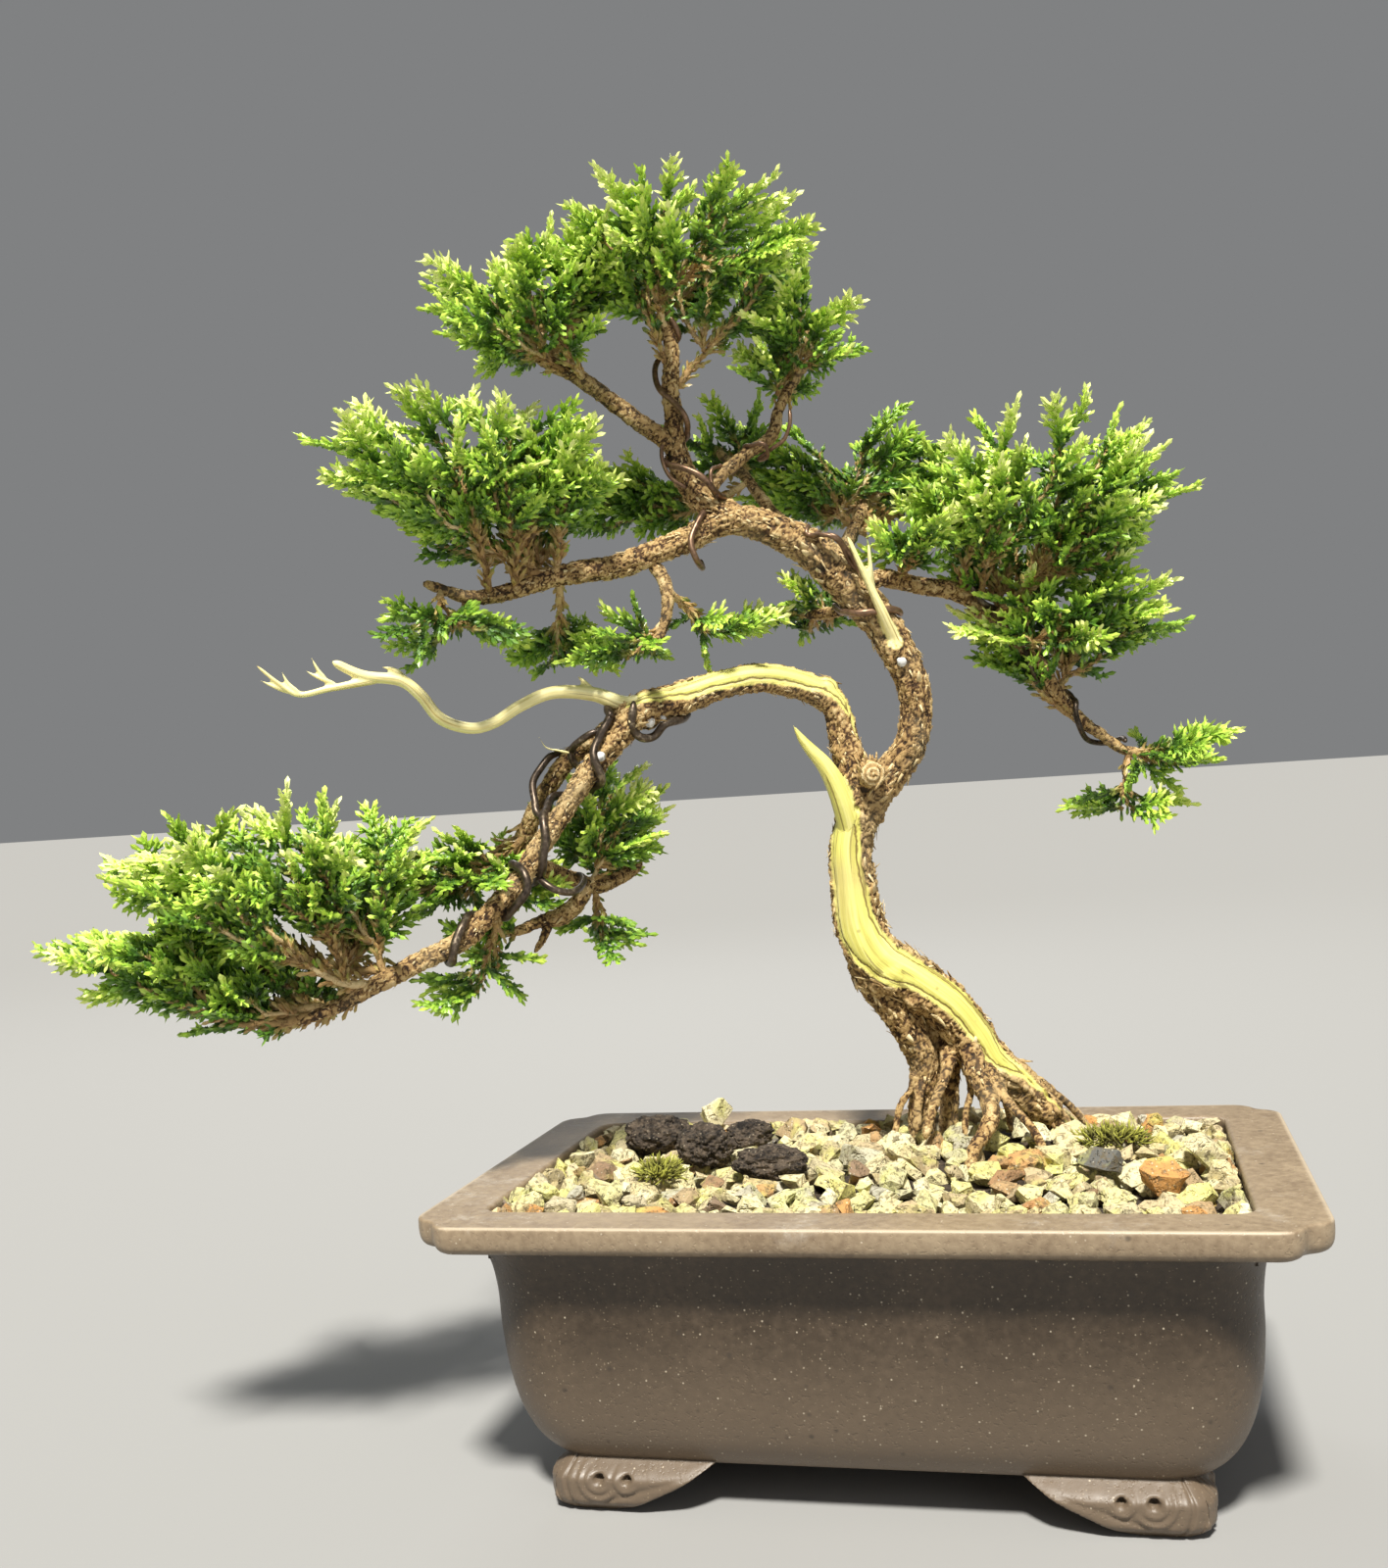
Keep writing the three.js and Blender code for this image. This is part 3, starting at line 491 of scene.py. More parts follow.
def bark_and_bare_wood():
    """Cracked tan bark. Where bare is 1 it is smooth yellow wood, or cream wood where pale is 1."""
    material, nodes, shader = new_material("bark_and_bare_wood")
    bare, relief, edge, pale = (nodes.value_of(name) for name in ("bare", "relief", "edge", "pale"))
    fine = nodes.noise(750, 5, roughness=0.7)
    network = nodes.math("ABSOLUTE", nodes.math("SUBTRACT", nodes.noise(300, 3, roughness=0.6), 0.5))
    crack = nodes.mapped(network, 0.0, 0.02)
    level = nodes.math("ADD", nodes.math("MULTIPLY", relief, 0.8), nodes.math("MULTIPLY", fine, 0.3))
    level = nodes.math("SUBTRACT", level, nodes.math("MULTIPLY", nodes.math("SUBTRACT", 1.0, crack), 0.18))
    bark = nodes.ramp(
        level,
        [(0.18, (0.016, 0.007, 0.002)), (0.33, (0.085, 0.040, 0.013)), (0.46, (0.26, 0.150, 0.054)),
         (0.62, (0.49, 0.325, 0.130)), (0.88, (0.90, 0.73, 0.41))],
    )
    bark = nodes.mix(nodes.mapped(nodes.noise(55, 3), 0.5, 0.72, 0, 0.35), bark, (0.36, 0.30, 0.17))
    grain = nodes.group(GRAIN_LINES, {"Width": 0.8, "Line share": 0.37})
    wood = nodes.ramp(
        grain["Streaks"],
        [(0.3, (0.52, 0.47, 0.10)), (0.45, (0.74, 0.70, 0.17)), (0.7, (0.90, 0.86, 0.31))],
    )
    groove_at = nodes.math("ABSOLUTE", nodes.math("SUBTRACT", edge, 1.3))
    groove = nodes.mapped(groove_at, 0.1, 0.42, 0.9, 0.0)
    marks = nodes.math("MAXIMUM", nodes.math("MULTIPLY", grain["Lines"], 0.6), groove)
    wood = nodes.mix(nodes.mapped(nodes.noise(60, 3), 0.52, 0.74, 0, 0.5), wood, (0.64, 0.52, 0.22))
    wood = nodes.mix(marks, wood, (0.17, 0.105, 0.03))
    dots = nodes.group(SPECKLE, {"Scale": 420.0, "Amount": 0.10})["Mask"]
    wood = nodes.mix(nodes.math("MULTIPLY", dots, 0.5), wood, (0.22, 0.14, 0.05))
    old = nodes.group(GRAIN_LINES, {"Width": 1.3, "Line share": 0.36})
    silver = nodes.ramp(
        old["Streaks"], [(0.3, (0.56, 0.42, 0.14)), (0.42, (0.90, 0.78, 0.33)), (0.65, (1.0, 0.93, 0.50))]
    )
    silver = nodes.mix(nodes.math("MULTIPLY", old["Lines"], 0.5), silver, (0.26, 0.18, 0.08))
    wood = nodes.mix(pale, wood, silver)
    color = nodes.mix(bare, bark, wood)
    rough = nodes.mapped(bare, 0, 1, 0.85, 0.5)
    bark_height = nodes.math("ADD", nodes.noise(900, 6, roughness=0.75), nodes.math("MULTIPLY", crack, 0.4))
    wood_height = nodes.math("SUBTRACT", grain["Streaks"], nodes.math("MULTIPLY", marks, 0.4))
    height = nodes.mix(bare, bark_height, wood_height)
    connect(nodes, shader, Base_Color=color, Roughness=rough, Normal=nodes.bump(height, 0.6, 0.0006))
    return material


def leaf():
    """Scale leaves: brown where old, deep green inside, yellow-green at the tips; the tone also carries
    painted shade deep in a pad and painted light on its top and outside.
    """
    material, nodes, shader = new_material("scale_leaves", 0.36)
    tone = nodes.value_of("tone")
    color = nodes.ramp(
        tone,
        [(0.0, (0.40, 0.22, 0.085)), (0.10, (0.44, 0.33, 0.11)), (0.17, (0.22, 0.25, 0.045)),
         (0.25, (0.024, 0.070, 0.010)), (0.42, (0.095, 0.22, 0.020)), (0.62, (0.34, 0.55, 0.055)),
         (0.82, (0.62, 0.80, 0.115)), (1.0, (0.88, 0.96, 0.34))],
    )
    patches = nodes.noise(900, 3)
    color = nodes.mix(nodes.mapped(patches, 0.5, 0.8, 0, 0.2), color, (0.35, 0.50, 0.20))
    connect(nodes, shader, Base_Color=color, Normal=nodes.bump(nodes.noise(1800, 3), 0.3, 0.0003))
    return material


def grit_stone():
    """Broken stone in cream, ochre, grey, rust and lichen yellow, one tone a grain."""
    material, nodes, shader = new_material("grit_stone", 0.85)
    kind = nodes.value_of("kind")
    color = nodes.ramp(
        kind,
        [(0.0, (0.68, 0.58, 0.31)), (0.20, (0.82, 0.77, 0.50)), (0.36, (0.60, 0.48, 0.23)),
         (0.46, (0.48, 0.46, 0.36)), (0.56, (0.70, 0.65, 0.21)), (0.72, (0.78, 0.70, 0.42)),
         (0.86, (0.42, 0.31, 0.17)), (0.94, (0.60, 0.29, 0.08)), (1.0, (0.13, 0.13, 0.12))],
    )
    tone = nodes.group(MOTTLE, {"Broad": 240.0, "Fine": 1400.0})["Tone"]
    color = nodes.mix(nodes.mapped(tone, 0, 0.45, 0.6, 0), color, (0.22, 0.16, 0.08))
    stain = nodes.mapped(nodes.noise(130, 4), 0.52, 0.66, 0, 0.6)
    color = nodes.mix(stain, color, (0.60, 0.60, 0.16))
    pits = nodes.mapped(nodes.noise(620, 4, roughness=0.7), 0.39, 0.48, 0.75, 0.0)
    color = nodes.mix(pits, color, (0.13, 0.10, 0.05))
    pale = nodes.group(SPECKLE, {"Scale": 1100.0, "Amount": 0.25})["Mask"]
    color = nodes.mix(nodes.math("MULTIPLY", pale, 0.5), color, (0.84, 0.81, 0.66))
    bumps = nodes.group(ROUGH_SURFACE, {"Grain": 1300.0, "Pits": 560.0})["Height"]
    connect(nodes, shader, Base_Color=color, Normal=nodes.bump(bumps, 0.8, 0.0009))
    return material


def dark_crumb(name, dark, light, pale_share):
    """Crumbly organic matter: potting soil or fertiliser cake."""
    material, nodes, shader = new_material(name, 0.9)
    tone = nodes.group(MOTTLE, {"Broad": 300.0, "Fine": 1300.0})["Tone"]
    color = nodes.ramp(tone, [(0.2, dark), (0.9, light)])
    pale = nodes.group(SPECKLE, {"Scale": 1100.0, "Amount": pale_share})["Mask"]
    color = nodes.mix(nodes.math("MULTIPLY", pale, 0.6), color, (0.42, 0.36, 0.26))
    bumps = nodes.group(ROUGH_SURFACE, {"Grain": 900.0, "Pits": 500.0})["Height"]
    connect(nodes, shader, Base_Color=color, Normal=nodes.bump(bumps, 0.8, 0.001))
    return material


def moss_green():
    """Moss: brown at the foot of a blade, yellow-green at its tip."""
    material, nodes, shader = new_material("moss_green", 0.8)
    color = nodes.ramp(
        nodes.value_of("tone"),
        [(0, (0.05, 0.04, 0.012)), (0.5, (0.24, 0.24, 0.03)), (1, (0.55, 0.56, 0.09))],
    )
    connect(nodes, shader, Base_Color=color)
    return material


def bronze_wire():
    """Anodised aluminium wire, dark bronze and worn pale in random patches."""
    material, nodes, shader = new_material("bronze_wire", 0.34)
    shader.inputs["Metallic"].default_value = 0.75
    tone = nodes.group(MOTTLE, {"Broad": 120.0, "Fine": 900.0})["Tone"]
    color = nodes.ramp(
        tone, [(0, (0.035, 0.026, 0.02)), (0.7, (0.12, 0.09, 0.065)), (1, (0.34, 0.28, 0.2))]
    )
    rough = nodes.mapped(tone, 0, 1, 0.28, 0.5)
    connect(nodes, shader, Base_Color=color, Roughness=rough)
    return material


def copper_wire():
    """Thin copper-brown wire."""
    material, nodes, shader = new_material("copper_wire", 0.4)
    shader.inputs["Metallic"].default_value = 0.7
    tone = nodes.group(MOTTLE, {"Broad": 120.0, "Fine": 900.0})["Tone"]
    color = nodes.ramp(tone, [(0, (0.09, 0.05, 0.03)), (1, (0.34, 0.21, 0.13))])
    connect(nodes, shader, Base_Color=color)
    return material


def mesh_plastic():
    """Dark moulded plastic with a fine texture."""
    material, nodes, shader = new_material("mesh_plastic", 0.55)
    tone = nodes.group(MOTTLE, {"Broad": 80.0, "Fine": 900.0})["Tone"]
    color = nodes.ramp(tone, [(0, (0.010, 0.013, 0.016)), (1, (0.03, 0.035, 0.04))])
    connect(nodes, shader, Base_Color=color, Normal=nodes.bump(nodes.noise(1500, 2), 0.2, 0.0003))
    return material


def cut_paste():
    """White wound paste, slightly cracked."""
    material, nodes, shader = new_material("cut_paste", 0.7)
    color = nodes.ramp(nodes.noise(900, 4), [(0.3, (0.45, 0.44, 0.42)), (0.6, (0.82, 0.82, 0.80))])
    connect(nodes, shader, Base_Color=color, Normal=nodes.bump(nodes.noise(1200, 4), 0.4, 0.0005))
    return material


STONEWARE = stoneware()
BARK = bark_and_bare_wood()
LEAF = leaf()
GRIT = grit_stone()
SOIL = dark_crumb("potting_soil", (0.018, 0.012, 0.007), (0.085, 0.06, 0.038), 0.1)
CAKE = dark_crumb("fertiliser_cake", (0.008, 0.005, 0.003), (0.115, 0.085, 0.058), 0.25)
MOSS = moss_green()
BRONZE = bronze_wire()
COPPER = copper_wire()
PLASTIC = mesh_plastic()
PASTE = cut_paste()


def settle(built, material, slot, *nodes):
    """Gives a piece its material and its body, and hides the frame's nodes that it stands for; slot is not
    used.
    """
    built.data.materials.append(material)
    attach(built, "root")
    if nodes:
        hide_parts(*nodes)


def make_floor():
    material, nodes, shader = new_material("studio_floor", 0.8)
    shader.inputs["Base Color"].default_value = FLOOR_COLOR
    mesh = bpy.data.meshes.new("floor")
    corners = [(x * FLOOR_HALF, y * FLOOR_HALF, 0) for x, y in ((-1, -1), (1, -1), (1, 1), (-1, 1))]
    mesh.from_pydata(corners, [], [(0, 1, 2, 3)])
    floor = bpy.data.objects.new("floor", mesh)
    bpy.context.scene.collection.objects.link(floor)
    mesh.materials.append(material)


# ---------------------------------------------------------------- pot

POT_HALF_LENGTH, POT_HALF_WIDTH, POT_HEIGHT = 105.0, 65.0, 72.0
RIM_WIDTH, WALL_THICKNESS = 15.5, 5.5
WIDTH_INSET_SHARE = 0.75
POT_FLOOR, POT_FLOOR_TOP = 10.0, 16.0
LOBE_RADIUS, HOLLOW_RADIUS, LOBE_TURN = 6.5, 4.0, 70
DRAIN_X, DRAIN_RADIUS = 45.0, 8.0
CORNER_POINTS, SIDE_POINTS = 28, 22

# [inset behind the lip, height, corner radius, 0] up the outside of the wall
WALL_PROFILE = [
    [31, 10, 12, 0], [26, 11.2, 14, 0], [21.5, 15, 16, 0], [18, 21, 18, 0], [15.5, 30, 19, 0],
    [14.2, 42, 19, 0], [14, 52, 18, 0], [12.8, 60, 17, 0], [11, 64, 16, 0],
]
# (inset, height): the lip from its underside round to its top, and the opening's edge down into the pot
LIP_PROFILE = [
    (3.0, 65.0), (2.1, 65.25), (1.35, 65.65), (0.8, 66.2), (0.42, 66.9), (0.2, 67.7), (0.06, 68.7),
    (0, 69.8), (0, 70.9), (0.03, 71.4), (0.12, 71.72), (0.3, 71.92), (0.6, 72.0), (1.4, 72.0),
]
OPENING_PROFILE = [(-0.9, 71.95), (-0.35, 71.7), (-0.05, 71.2), (0, 70), (0, 66), (0, 60), (0, 57)]


def corner_walk(turns):
    """A corner that starts heading along +x, as points of arcs [radius, turn in degrees]."""
    places, heading, place = [np.zeros(2)], 0.0, np.zeros(2)
    for radius, degrees in turns:
        steps = 12
        step = math.radians(degrees) / steps
        chord = 2 * radius * math.sin(abs(step) / 2)
        for _ in range(steps):
            heading += step / 2
            place = place + chord * np.array([math.cos(heading), math.sin(heading)])
            heading += step / 2
            places.append(place)
    places = np.array(places)
    walked = walked_to(places)
    even = np.linspace(0, walked[-1], CORNER_POINTS)
    return np.stack([np.interp(even, walked, places[:, k]) for k in (0, 1)], axis=1)


def outline(half_x, half_y, corner):
    """A closed outline with the same corner four times, anticlockwise from the near right."""
    size = corner[-1, 0]
    points = []
    for quarter in range(4):
        along, across = (half_x, half_y) if quarter % 2 == 0 else (half_y, half_x)
        start = np.array([size - along, -across])
        end = np.array([along - size, -across])
        share = (np.arange(SIDE_POINTS) + 0.5)[:, None] / SIDE_POINTS
        local = np.vstack([start + (end - start) * share, end + corner])
        angle = quarter * math.pi / 2
        rotate = np.array([[math.cos(angle), math.sin(angle)], [-math.sin(angle), math.cos(angle)]])
        points.append(local @ rotate)
    return np.vstack(points)


def round_outline(half_x, half_y, radius):
    return outline(half_x, half_y, corner_walk([(radius, 90)]))


def at_height(flat, z):
    return np.hstack([flat, np.full((len(flat), 1), z)])


def inset_outline(flat, amount):
    """The outline moved in by an amount along its normals."""
    along = unit(np.roll(flat, -1, axis=0) - np.roll(flat, 1, axis=0))
    return flat + amount * np.stack([-along[:, 1], along[:, 0]], axis=1)


def wall_outline(inset, radius):
    return round_outline(POT_HALF_LENGTH - inset, POT_HALF_WIDTH - inset * WIDTH_INSET_SHARE, radius)


def pot_shell():
    """The pot's body and lip as one closed shell: up the outside, over the lip and down the inside."""
    lip = outline(
        POT_HALF_LENGTH,
        POT_HALF_WIDTH,
        corner_walk([(LOBE_RADIUS, LOBE_TURN), (HOLLOW_RADIUS, 90 - 2 * LOBE_TURN), (LOBE_RADIUS, LOBE_TURN)]),
    )
    rings = [at_height(wall_outline(60, 2) * share, POT_FLOOR) for share in (0.3, 0.7)]
    wall = smooth_line(WALL_PROFILE, 1.2)
    rings += [at_height(wall_outline(inset, radius), z) for inset, z, radius, _ in wall]
    top_of_wall = wall_outline(10.5, 16)
    for share, z in ((0.0, 64.6), (0.25, 64.8), (0.55, 64.85), (0.85, 64.9)):
        rings.append(at_height(top_of_wall + (inset_outline(lip, 3.4) - top_of_wall) * share, z))
    rings += [at_height(inset_outline(lip, inset), z) for inset, z in LIP_PROFILE]
    opening = round_outline(POT_HALF_LENGTH - RIM_WIDTH, POT_HALF_WIDTH - RIM_WIDTH, 5)
    lip_edge = inset_outline(lip, 1.4)
    for share in (0.15, 0.35, 0.55, 0.75, 0.92):
        rings.append(at_height(lip_edge + (opening - lip_edge) * share, POT_HEIGHT))
    rings += [at_height(inset_outline(opening, inset), z) for inset, z in OPENING_PROFILE]
    for z in (52, 40, 28, 20, POT_FLOOR_TOP):
        inset, radius = (np.interp(z, wall[:, 1], wall[:, k]) for k in (0, 2))
        inside_corner = max(radius - WALL_THICKNESS, 3)
        rings.append(at_height(wall_outline(inset + WALL_THICKNESS, inside_corner), z))
    rings.append(at_height(wall_outline(60, 2), POT_FLOOR_TOP))
    return np.vstack(rings), ring_faces(len(rings), len(lip))


def sharp_edge(vertices):
    """1 along the lip's top edge, where the clay is painted pale: partly wear, partly a painted highlight."""
    near = np.minimum(POT_HALF_LENGTH - np.abs(vertices[:, 0]), POT_HALF_WIDTH - np.abs(vertices[:, 1]))
    return smoothstep(71.3, 71.8, vertices[:, 2]) * smoothstep(1.3, 0.6, near)


FOOT_CORNER, FOOT_ROUNDING = (78.0, 50.5), 6.5
FOOT_THICKNESS, FOOT_TOP = 8.0, 14.0
FOOT_REACH, FOOT_SIDE_REACH = 43.0, 27.0
FOOT_EYES = [(13.5, 8.0, 0.9), (20.5, 8.0, 0.8)]  # distance from the corner, height, radius


def foot_leg(reach):
    """One leg of a foot as a closed prism: x runs away from the corner, y is its thickness."""
    heel = [(3.0, FOOT_TOP), (1.0, 10), (0.3, 7), (0.9, 4), (2.4, 1.8), (4.8, 0.5), (8, 0)]
    toe = [(17, 0), (20.5, 0.7), (25, 2.9), (33, 6.6), (reach - 3, 10.6), (reach, 12.4), (reach, FOOT_TOP)]
    scale = reach / FOOT_REACH
    edge = np.array(heel + [(x * scale if x < reach - 3 else x, z) for x, z in toe])
    rings = [np.stack([edge[:, 0], np.full(len(edge), y), edge[:, 1]], axis=1) for y in (0, FOOT_THICKNESS)]
    return np.vstack(rings), ring_faces(2, len(edge))


def foot_relief(along, height):
    """How far the carved scroll stands out from a foot's face."""
    relief = np.zeros(len(along))
    for number, (x, z, radius) in enumerate(FOOT_EYES):
        away = np.hypot(along - x, height - z)
        below = smoothstep(-0.35, 0.5, (0.8 * (z - height) + 0.6 * (x - along)) / np.maximum(away, 0.1))
        for ring in (2.7, 4.6)[: 2 - number]:
            relief += 0.38 * np.exp(-(((away - ring) / 0.62) ** 2)) * below
            relief -= 0.25 * np.exp(-(((away - ring - 0.95) / 0.4) ** 2)) * below
        relief -= 3.2 * np.exp(-((np.hypot((along - x) / 1.35, height - z) / radius) ** 4))
    groove = along - 5.2 - 0.05 * (height - 8) ** 2
    end_face = smoothstep(0, -2.5, groove) * smoothstep(11, 8, height)
    relief -= 0.8 * np.exp(-((groove / 0.5) ** 2)) + 0.5 * end_face
    sweep = height - (2.6 + 0.30 * np.maximum(along - 14, 0))
    relief -= 0.3 * np.exp(-((sweep / 0.5) ** 2)) * smoothstep(12, 17, along)
    return relief


def foot_lean(height):
    """How far back a foot's face sits: tucked under the body above, rounded under below."""
    return 5.6 * smoothstep(7.5, 13.5, height) + 2.8 * smoothstep(4.0, 0.0, height) ** 2


def foot():
    """The foot under the near left corner, in place."""
    shells = Shells()
    vertices, faces = foot_leg(FOOT_REACH)
    shells.add(vertices, faces)
    side_vertices, side_faces = foot_leg(FOOT_SIDE_REACH)
    shells.add(side_vertices[:, [1, 0, 2]], [rows[:, ::-1] for rows in side_faces])
    vertices, normals, faces = fuse(shells, 0.5)
    into_corner = np.maximum(FOOT_ROUNDING - vertices[:, :2], 0)
    reach = np.linalg.norm(into_corner, axis=1)
    pull = np.maximum(reach - FOOT_ROUNDING, 0) / np.maximum(reach, 1e-6)
    vertices[:, :2] += into_corner * pull[:, None]
    front = smoothstep(0.5, 0.9, -normals[:, 1]) * (vertices[:, 1] < 3)
    end = smoothstep(0.5, 0.9, -normals[:, 0]) * (vertices[:, 0] < 3)
    standing = smoothstep(0.4, 1.4, vertices[:, 2])
    carved = vertices.copy()
    carved[:, 1] -= standing * front * foot_relief(vertices[:, 0], vertices[:, 2])
    carved[:, 0] -= standing * end * foot_relief(vertices[:, 1], vertices[:, 2])
    lean = foot_lean(vertices[:, 2])
    for axis in (0, 1):
        carved[:, axis] += lean * np.clip(1 - vertices[:, axis] / FOOT_THICKNESS, 0, 1)
    carved += 0.14 * normals * fractal(vertices * 0.5, 3, 5)[:, None] * standing[:, None]
    carved[:, 2] = np.maximum(carved[:, 2], 0)
    return carved - [FOOT_CORNER[0] - 0.4, FOOT_CORNER[1] + 0.6, 0], faces


def make_pot():
    body = Shells()
    body.add(*pot_shell())
    pot = build_object("stoneware_pot", body)
    drains = Shells()
    for x in (-DRAIN_X, DRAIN_X):
        line = np.array([[x, 0, z, DRAIN_RADIUS] for z in (0.0, 30.0)])
        drains.add(*tube(line, 48))
    cutter = build_object("scratch", drains)
    cut = pot.modifiers.new("drains", "BOOLEAN")
    cut.object = cutter
    cut.solver = "EXACT"
    vertices, _, faces = mesh_arrays(pot)
    for scratch in (pot, cutter):
        bpy.data.objects.remove(scratch)
    whole = Shells()
    whole.add(vertices, faces)
    foot_vertices, foot_faces = foot()
    for mirror_x in (1, -1):
        for mirror_y in (1, -1):
            flipped = mirror_x * mirror_y < 0
            whole.add(
                foot_vertices * [mirror_x, mirror_y, 1],
                [rows[:, ::-1] if flipped else rows for rows in foot_faces],
            )
    whole.values["edge"] = [sharp_edge(np.vstack(whole.vertices))]
    pot = build_object("stoneware_pot", whole)
    settle(pot, STONEWARE, "stoneware", "pot")
    for name, material in (("drain_screen_left", PLASTIC), ("drain_screen_right", PLASTIC), ("soil", SOIL)):
        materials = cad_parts[name].data.materials
        materials.clear()
        materials.append(material)


# ---------------------------------------------------------------- wood

TRUNK = [
    [54, 34, 62, 3.2], [47, 31, 71, 3.8], [41, 28, 80, 4.6], [35, 26, 87, 5.4], [28, 24, 93, 6.2],
    [24, 22, 101, 6.3], [19, 19, 109, 6.2], [10, 16, 117, 6.4], [2, 14, 123, 7], [-2, 13, 131, 6.5],
    [-3, 12, 144, 5.7], [-3, 12, 154, 5.5], [0, 13, 164, 5.6],
]
SECOND_LEG = [
    [-1, 14, 129, 5.4], [0, 16, 120, 6], [4, 17, 112, 5.2], [8, 18, 104, 4.3], [11, 20, 96, 3.8],
    [11.5, 21, 90, 3.6], [10, 22, 80, 3.4], [9, 22, 66, 3.4],
]
TRUNK_STUB = [
    [-3, 15, 144, 2.4], [-3, 13, 151, 3.3], [-3, 10.5, 158, 3.6], [-4, 8, 165, 3.3], [-6, 6, 172, 2.9],
    [-8, 5, 176, 2.5],
    [-11, 4, 180, 2], [-13, 3, 183, 1.5], [-15, 2, 187, 0.5],
]
SURFACE_ROOTS = [
    [[24, 19, 99, 3.4], [26, 15, 91, 2.9], [29, 12, 85, 2.3], [29.5, 9, 81, 2], [28, 5, 78, 1.8],
     [25, 0, 74, 1.5], [24, -5, 67, 1.3]],
    [[28, 19, 92, 2.6], [32, 14, 86, 1.1], [36, 11, 82, 1], [40, 8, 78, 0.9], [44, 4, 70, 0.7]],
    [[40, 28, 87, 2], [45, 30, 83, 1], [49, 32, 79, 0.8], [54, 34, 72, 0.6]],
    [[10, 19, 92, 2], [8, 18, 87, 0.8], [5, 17, 83, 0.7], [3, 15, 75, 0.6]],
    [[11, 19, 90, 1.6], [10, 16, 84, 0.9], [9, 14, 76, 0.8]],
    [[19, 20, 98, 2.6], [18, 15, 92, 1.3], [15, 11, 85, 1.1], [12, 8, 76, 0.9]],
    [[18, 24, 100, 4], [18, 24, 90, 2.6], [17, 24, 80, 2.2], [16, 24, 68, 2.2]],
    [[25, 19, 93, 2.2], [24, 16, 86, 0.8], [22.5, 14, 81, 0.7], [22, 12, 73, 0.6]],
    [[30, 20, 90, 2], [33, 18, 83, 0.8], [34, 15, 76, 0.7]],
]
CASCADE_LIMB = [
    [0, 13, 164, 5.6], [-1, 12, 173, 4.7], [-3, 12, 181, 3.8], [-4, 12, 188, 3.6], [-6, 11, 193, 3.6],
    [-12, 9, 197, 3.7], [-22, 5, 200, 3.7], [-33, 1, 199, 3.7], [-43, -3, 196, 4], [-51, -8, 194, 4.2],
    [-57, -11, 192, 4],
]
DEAD_BRANCH = [
    [-52, -9, 195, 2.8], [-57, -11, 195, 2.6], [-64, -14, 198, 2.2], [-74, -19, 199, 2],
    [-82, -22, 196, 1.9], [-89, -24, 192, 1.8], [-94, -27, 191, 1.8], [-101, -30, 194, 1.9],
    [-105, -32, 200, 1.9], [-109, -34, 204, 1.9], [-118, -38, 206, 1.7], [-125, -41, 210, 1.4],
]
DEAD_TWIGS = [
    [[-114, -36, 205, 1.5], [-126, -42, 203, 1.1], [-133, -45, 202, 1], [-137, -47, 205, 0.8],
     [-142, -49, 210, 0.6]],
    [[-131, -44, 202, 1], [-136, -46, 203, 0.7], [-141, -49, 206, 0.55]],
    [[-132, -45, 202, 0.9], [-135, -46, 205, 0.7], [-136, -47, 208, 0.5]],
    [[-124, -41, 204, 1], [-128, -43, 206, 0.7], [-131, -44, 208, 0.5]],
    [[-126, -42, 205, 0.9], [-128, -43, 208, 0.7], [-129, -44, 211, 0.55]],
    [[-108, -33, 204, 1.3], [-111, -34, 207, 0.9], [-114, -35, 208, 0.6]],
    [[-64, -14, 198, 1.3], [-66, -15, 201, 0.9], [-68, -15, 203, 0.7]],
]
CASCADE_BRANCH = [
    [-54, -10, 193, 4.2], [-56, -11, 191, 4.2], [-61, -14, 184, 3.2], [-67, -18, 176, 2.6],
    [-73, -21, 167, 2.5], [-79, -25, 158, 2.5], [-83, -28, 151, 2.4], [-88, -32, 145, 2.4],
    [-95, -35, 138, 2.4], [-100, -39, 135, 2.3], [-107, -42, 132, 2.2], [-115, -46, 128, 2],
    [-125, -49, 123, 1.5], [-134, -53, 120, 1],
]
CASCADE_BACK_BRANCH = [
    [-56, -10, 192, 3], [-59, -10, 190, 3], [-66, -9, 186, 2.2], [-74, -8, 182, 2.2],
    [-81, -8, 174, 2.2], [-86, -8, 166, 2.1], [-90, -7, 159, 1.8], [-99, -6, 153, 1.3],
]
CASCADE_SIDE_BRANCH = [
    [-82, -26, 155, 1.9], [-82, -20, 155, 1.9], [-79, -13, 152, 2], [-75, -6, 149, 2], [-72, 1, 147, 2],
    [-66, 8, 149, 1.6], [-62, 12, 152, 1.2],
]
CASCADE_LOW_TWIG = [
    [-72, -5, 149, 1.8], [-74, -7, 144, 2], [-79, -8, 140, 2.2], [-84, -10, 139, 1.6],
    [-88, -14, 137.5, 1.2], [-91, -18, 136.5, 0.7],
]
CASCADE_LOW_SPUR = [[-82, -9, 139, 1.3], [-84, -11, 134, 0.9], [-86, -12, 131, 0.6]]
UPPER_LIMB = [
    [0, 13, 160, 5], [3, 13, 166, 4.7], [8, 15, 172, 4.4], [14, 15, 179, 4.1], [16, 15, 187, 3.9],
    [16, 14, 195, 4], [13, 13, 204, 4.4], [9, 12, 212, 4.6], [4, 11, 219, 4.8], [-2, 9, 227, 5],
    [-9, 7, 234, 4.8], [-17, 5, 239, 4.2], [-24, 4, 242, 3.8], [-29, 2, 243, 3.6],
]
UPPER_STUB = [
    [14, 13, 200, 1.4], [12.5, 9.5, 207, 1.9], [10, 5.5, 215, 1.7], [7.5, 3, 222, 1.3],
    [5, 1, 229, 1.1], [3, 0, 235, 0.9],
]
SECOND_STUB = [[8, 6, 219, 1.2], [8, 4, 226, 1], [8, 3, 233, 0.8]]
